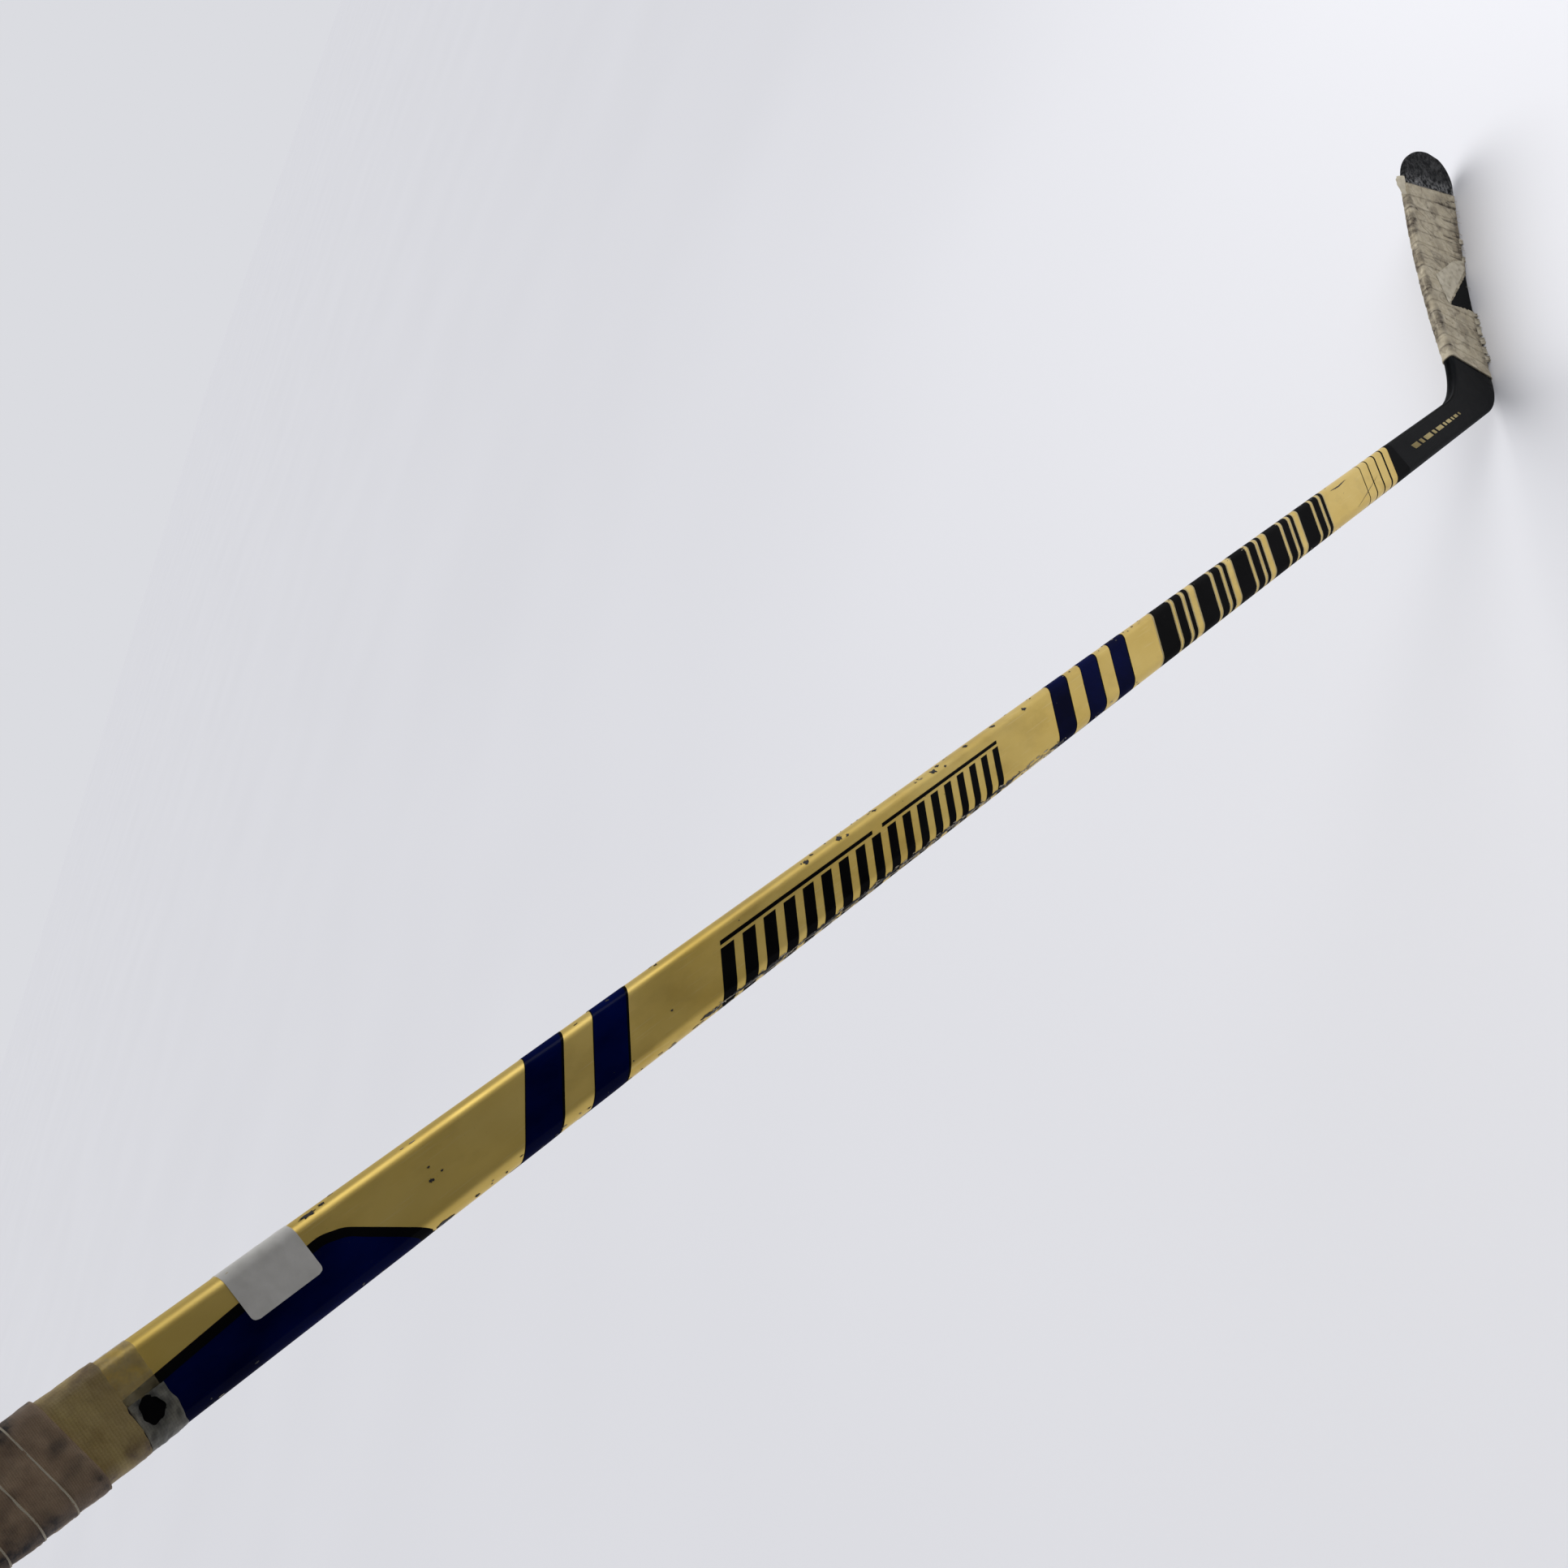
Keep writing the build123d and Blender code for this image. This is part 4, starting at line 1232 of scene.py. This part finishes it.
def tape_ring(name, node, low, high, lift, floor_lift, ripple, seed, material, slot):
    """Ring of tape with a slightly uneven surface and a torn lower edge."""
    rows = down(max(8, int((high - low) / 0.8)))
    along = between(low + 0.14 * Waves(5, 14, seed)(ROUND, ROUND * 0.3), high, rows)
    bumps = ripple * Waves(5, 18, seed + 1)(along, ROUND)
    edge = 0.12 * hump(rows, 0, 0.08) * (lift > 0.3)
    lift = np.maximum(lift + bumps + edge, floor_lift + 0.06)
    shell = layer(along, ROUND, lift, floor_lift, around=True)
    dirt = 0.6 * hump(np.abs(ROUND), 13.5, 3.0) * (0.6 + 0.5 * Waves(7, 12, seed + 2)(along, ROUND))
    soiled_piece(name, shell, dirt + 0.3 * hump(rows, 0, 0.05) + 0.12, material, slot, (node,))


def build_rings():
    """The older tape below the grip, and the clear film below that."""
    tape_ring("base_tape_ring", "grip_base_tape", BASE_END, TUBE_TOP, BASE_LIFT, 0.02, 0.05, 61,
              OLD_TAPE, "old_tape")
    tape_ring("clear_film_ring", "clear_tape", CLEAR_END, BASE_END, 0.2, 0.12, 0.03, 65,
              FILM, "clear_tape")


SCRAP_LIFT = 0.42
SCRAP_FLOOR = 0.22
SCRAP_TOP = -1.4              # its upper edge, across the face
SCRAP_BACK = 9.0              # how far short of the back face's middle it ends
HOLE_MIDDLE = (1394.4, -6.0)  # along the shaft and girth
HOLE_HALF = (3.3, 4.0)        # half its length and half its width
HOLE_SNAP = 0.11


def build_scrap():
    """Torn residue of tape on the lower half, with a hole through it."""
    around = girths(-HALF_GIRTH + SCRAP_BACK, girth_of(SCRAP_TOP), 0.4)
    rag = 0.32 * Waves(6, 14, 71)(around, around * 0.4)
    along = between(CLEAR_END - 0.9 + rag, BASE_END - 0.2, down(40))
    girth = around * np.ones_like(along)
    lift = SCRAP_LIFT + 0.09 * Waves(4, 18, 72)(along, girth)
    (hole_s, hole_g), (half_s, half_g) = HOLE_MIDDLE, HOLE_HALF
    off_s, off_g = (along - hole_s) / half_s, (girth - hole_g) / half_g
    angle = np.arctan2(off_g, off_s)
    away = np.hypot(off_s, off_g) * (1 + 0.08 * np.sin(3 * angle + 1) + 0.05 * np.sin(7 * angle))
    pull = np.where(np.abs(away - 1) < HOLE_SNAP, away, 1.0)
    along, girth = hole_s + (along - hole_s) / pull, hole_g + (girth - hole_g) / pull
    middle = (away[:-1, :-1] + away[1:, :-1] + away[:-1, 1:] + away[1:, 1:]) / 4
    shell = layer(along, girth, lift, SCRAP_FLOOR, keep=middle > 1.0)
    dirt = 0.7 * smooth_step(1.5, 1.0, away) + 0.4 * np.clip(Waves(3, 14, 74)(along, girth), 0, 1)
    soiled_piece("tape_residue_patch", shell, dirt, SCRAP, "scrap_tape", ("tape_scrap",))
    hole = blot(hole_s, hole_g, 2.3 * half_s, 2.3 * half_g, 0.3, 24, 0.05)
    finish_piece("tape_residue_hole", *hole, BLACK, "scrap_tape")


LABEL_LOW = 1333.2
LABEL_HIGH = 1359.0
LABEL_DROP = -3.8
LABEL_FOLD = 8.5              # how far it reaches down the back face
LABEL_LIFT = 0.17
LABEL_FLOOR = 0.01
LABEL_CORNER = 2.0
LABEL_TURN = 0.03


def build_label():
    """Blank paper label folded over the upper narrow side, with rounded corners."""
    around = girths(LABEL_DROP, HALF_GIRTH - HALF_WIDTH + LABEL_FOLD, 0.5)
    near_end = np.minimum(around - around[0], around[-1] - around)
    short = np.maximum(LABEL_CORNER - near_end, 0)
    inset = LABEL_CORNER - np.sqrt(LABEL_CORNER ** 2 - short ** 2)
    along = between(LABEL_LOW + inset, LABEL_HIGH - inset, down(40)) + LABEL_TURN * (around - 8.0)
    lift = LABEL_LIFT + 0.045 * np.clip(Waves(6, 12, 81)(along, around), 0, 2)
    shell = layer(along, around, lift, LABEL_FLOOR)
    finish_piece("blank_label_sheet", *shell, LABEL, "label", ("owner_label",))


PLUG_RIM = 1.2
PLUG_GAP = 0.15


def build_plug():
    """Cap in the butt end with a rounded rim, and its shank inside the shaft."""
    angle = np.linspace(0, math.pi / 2, 7)
    foot, butt = (TUBE_TOP - PLUG_REACH) * ALONG, STICK_LENGTH * ALONG
    along = np.concatenate([[TUBE_TOP], STICK_LENGTH - PLUG_RIM + PLUG_RIM * np.sin(angle)])
    lift = np.concatenate([[0.0], -PLUG_RIM * (1 - np.cos(angle))])
    flange = shaft_point(along[:, None], ROUND, lift[:, None])
    shank = shaft_point(np.array([[TUBE_TOP - PLUG_REACH], [TUBE_TOP]]), ROUND, -TUBE_WALL - PLUG_GAP)
    ends = [between(flange[-1], butt, share) for share in (0.35, 0.7, 1.0)]
    grid = np.concatenate([[0 * flange[0] + foot], shank, flange, ends])
    rows, columns = grid.shape[:2]
    faces = [(i * columns + j, i * columns + (j + 1) % columns, (i + 1) * columns + (j + 1) % columns,
              (i + 1) * columns + j) for i in range(rows - 1) for j in range(columns)]
    finish_piece("butt_cap", grid.reshape(-1, 3), faces, RUBBER, "plug", ("butt_plug",))


def dress_hidden_nodes():
    """Give the covered CAD nodes their own materials."""
    looks = {
        "hosel_core": FOAM, "blade_core_upper": FOAM, "blade_core_lower": FOAM, "glue_sleeve": GLUE,
        "hosel_tenon": INNER, "blade_rib": INNER, "knob_core": BROWN_TAPE,
    }
    for name, material in looks.items():
        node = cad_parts[name]
        node.data.materials.clear()
        node.data.materials.append(material)


# ---------------------------------------------------------------- camera, light, floor
CAMERA_PLACE = (-1.0838, -0.4929, 1.0576)
CAMERA_TURN = (33.362, 59.630, -90.703)
CAMERA_LENS = 34.71
CAMERA_SENSOR = 36.0
SEEN_WORLD = tint(219, 220, 225)
LIGHT_WORLD = tint(222, 224, 232)
WORLD_STRENGTH = 0.42
SUN_POWER = 2.1
SUN_SPREAD = 70.0
SUN_TURN = (-28.0, 10.0, 0.0)
KEY_PLACE = (0.95, -1.25, 1.3)
KEY_AIM = (0.05, 0.0, 0.15)
KEY_SIZE = 1.2
KEY_POWER = 14.0
FLOOR_HALF = 40.0
# The card: a dark upright rectangle in front of the upper shaft, which dims what its forehand face
# reflects.
CARD_X = (-1.9, -0.1)
CARD_Y = -0.62
CARD_Z = (0.25, 1.9)


def add_object(name, data, place=(0, 0, 0), turn=(0, 0, 0)):
    """Put new data in the scene. turn is in degrees."""
    thing = bpy.data.objects.new(name, data)
    thing.location = place
    thing.rotation_euler = [math.radians(angle) for angle in turn]
    bpy.context.scene.collection.objects.link(thing)
    return thing


def place_camera():
    """The photograph's viewing angle, and plain colours without film-like grading."""
    data = bpy.data.cameras.new("camera")
    data.sensor_width = CAMERA_SENSOR
    data.lens = CAMERA_LENS
    data.clip_start = 0.02
    data.clip_end = 200.0
    bpy.context.scene.camera = add_object("camera", data, CAMERA_PLACE, CAMERA_TURN)
    bpy.context.scene.view_settings.view_transform = "Standard"


def rectangle(name, corners, material):
    """One flat face in one material."""
    mesh = bpy.data.meshes.new(name)
    mesh.from_pydata(corners, [], [(0, 1, 2, 3)])
    mesh.materials.append(material)
    return add_object(name, mesh)


def build_stage():
    """Pale floor, and the dark card that neither shows nor throws a shadow."""
    half = FLOOR_HALF
    floor_paint = stage_look("pale_floor", tint(228, 228, 231), tint(230, 230, 233), 900, 1.0,
                             Specular_IOR_Level=0.0)
    corners = [(-half, -half, 0), (half, -half, 0), (half, half, 0), (-half, half, 0)]
    floor = rectangle("floor", corners, floor_paint)
    card_paint = stage_look("shade_card", tint(30, 30, 30), tint(36, 36, 36), 300, 4.0)
    (left, right), (low, high) = CARD_X, CARD_Z
    corners = [(left, CARD_Y, low), (right, CARD_Y, low), (right, CARD_Y, high), (left, CARD_Y, high)]
    card = rectangle("shade_card", corners, card_paint)
    card.visible_camera = False
    card.visible_shadow = False


def build_lights():
    """A broad soft light from above, and a soft lamp near the blade."""
    sun = bpy.data.lights.new("overhead", "SUN")
    sun.energy, sun.angle = SUN_POWER, math.radians(SUN_SPREAD)
    add_object("overhead", sun, turn=SUN_TURN)
    key = bpy.data.lights.new("key", "AREA")
    key.size, key.energy = KEY_SIZE, KEY_POWER
    lamp = add_object("key", key, KEY_PLACE)
    lamp.rotation_euler = (Vector(KEY_AIM) - Vector(KEY_PLACE)).to_track_quat("-Z", "Y").to_euler()


def pale_world():
    """Pale world: what the camera sees of it matches the far floor, and it lights more softly."""
    world = bpy.data.worlds.new("pale_world")
    world.use_nodes = True
    nodes, links = world.node_tree.nodes, world.node_tree.links
    light, seen = nodes["Background"], nodes.new("ShaderNodeBackground")
    path, mix = nodes.new("ShaderNodeLightPath"), nodes.new("ShaderNodeMixShader")
    light.inputs["Color"].default_value = LIGHT_WORLD
    light.inputs["Strength"].default_value = WORLD_STRENGTH
    seen.inputs["Color"].default_value = SEEN_WORLD
    links.new(path.outputs["Is Camera Ray"], mix.inputs["Fac"])
    links.new(light.outputs["Background"], mix.inputs[1])
    links.new(seen.outputs["Background"], mix.inputs[2])
    links.new(mix.outputs["Shader"], nodes["World Output"].inputs["Surface"])
    bpy.context.scene.world = world


build_shaft()
build_stripes()
build_strokes()
build_blocks()
build_wedge()
build_chips()
build_scuffs()
build_blade()
build_dashes()
build_blade_tape()
build_strip()
build_threads()
build_toe_tab()
build_grip()
build_rings()
build_scrap()
build_label()
build_plug()
dress_hidden_nodes()
place_camera()
build_stage()
build_lights()
pale_world()
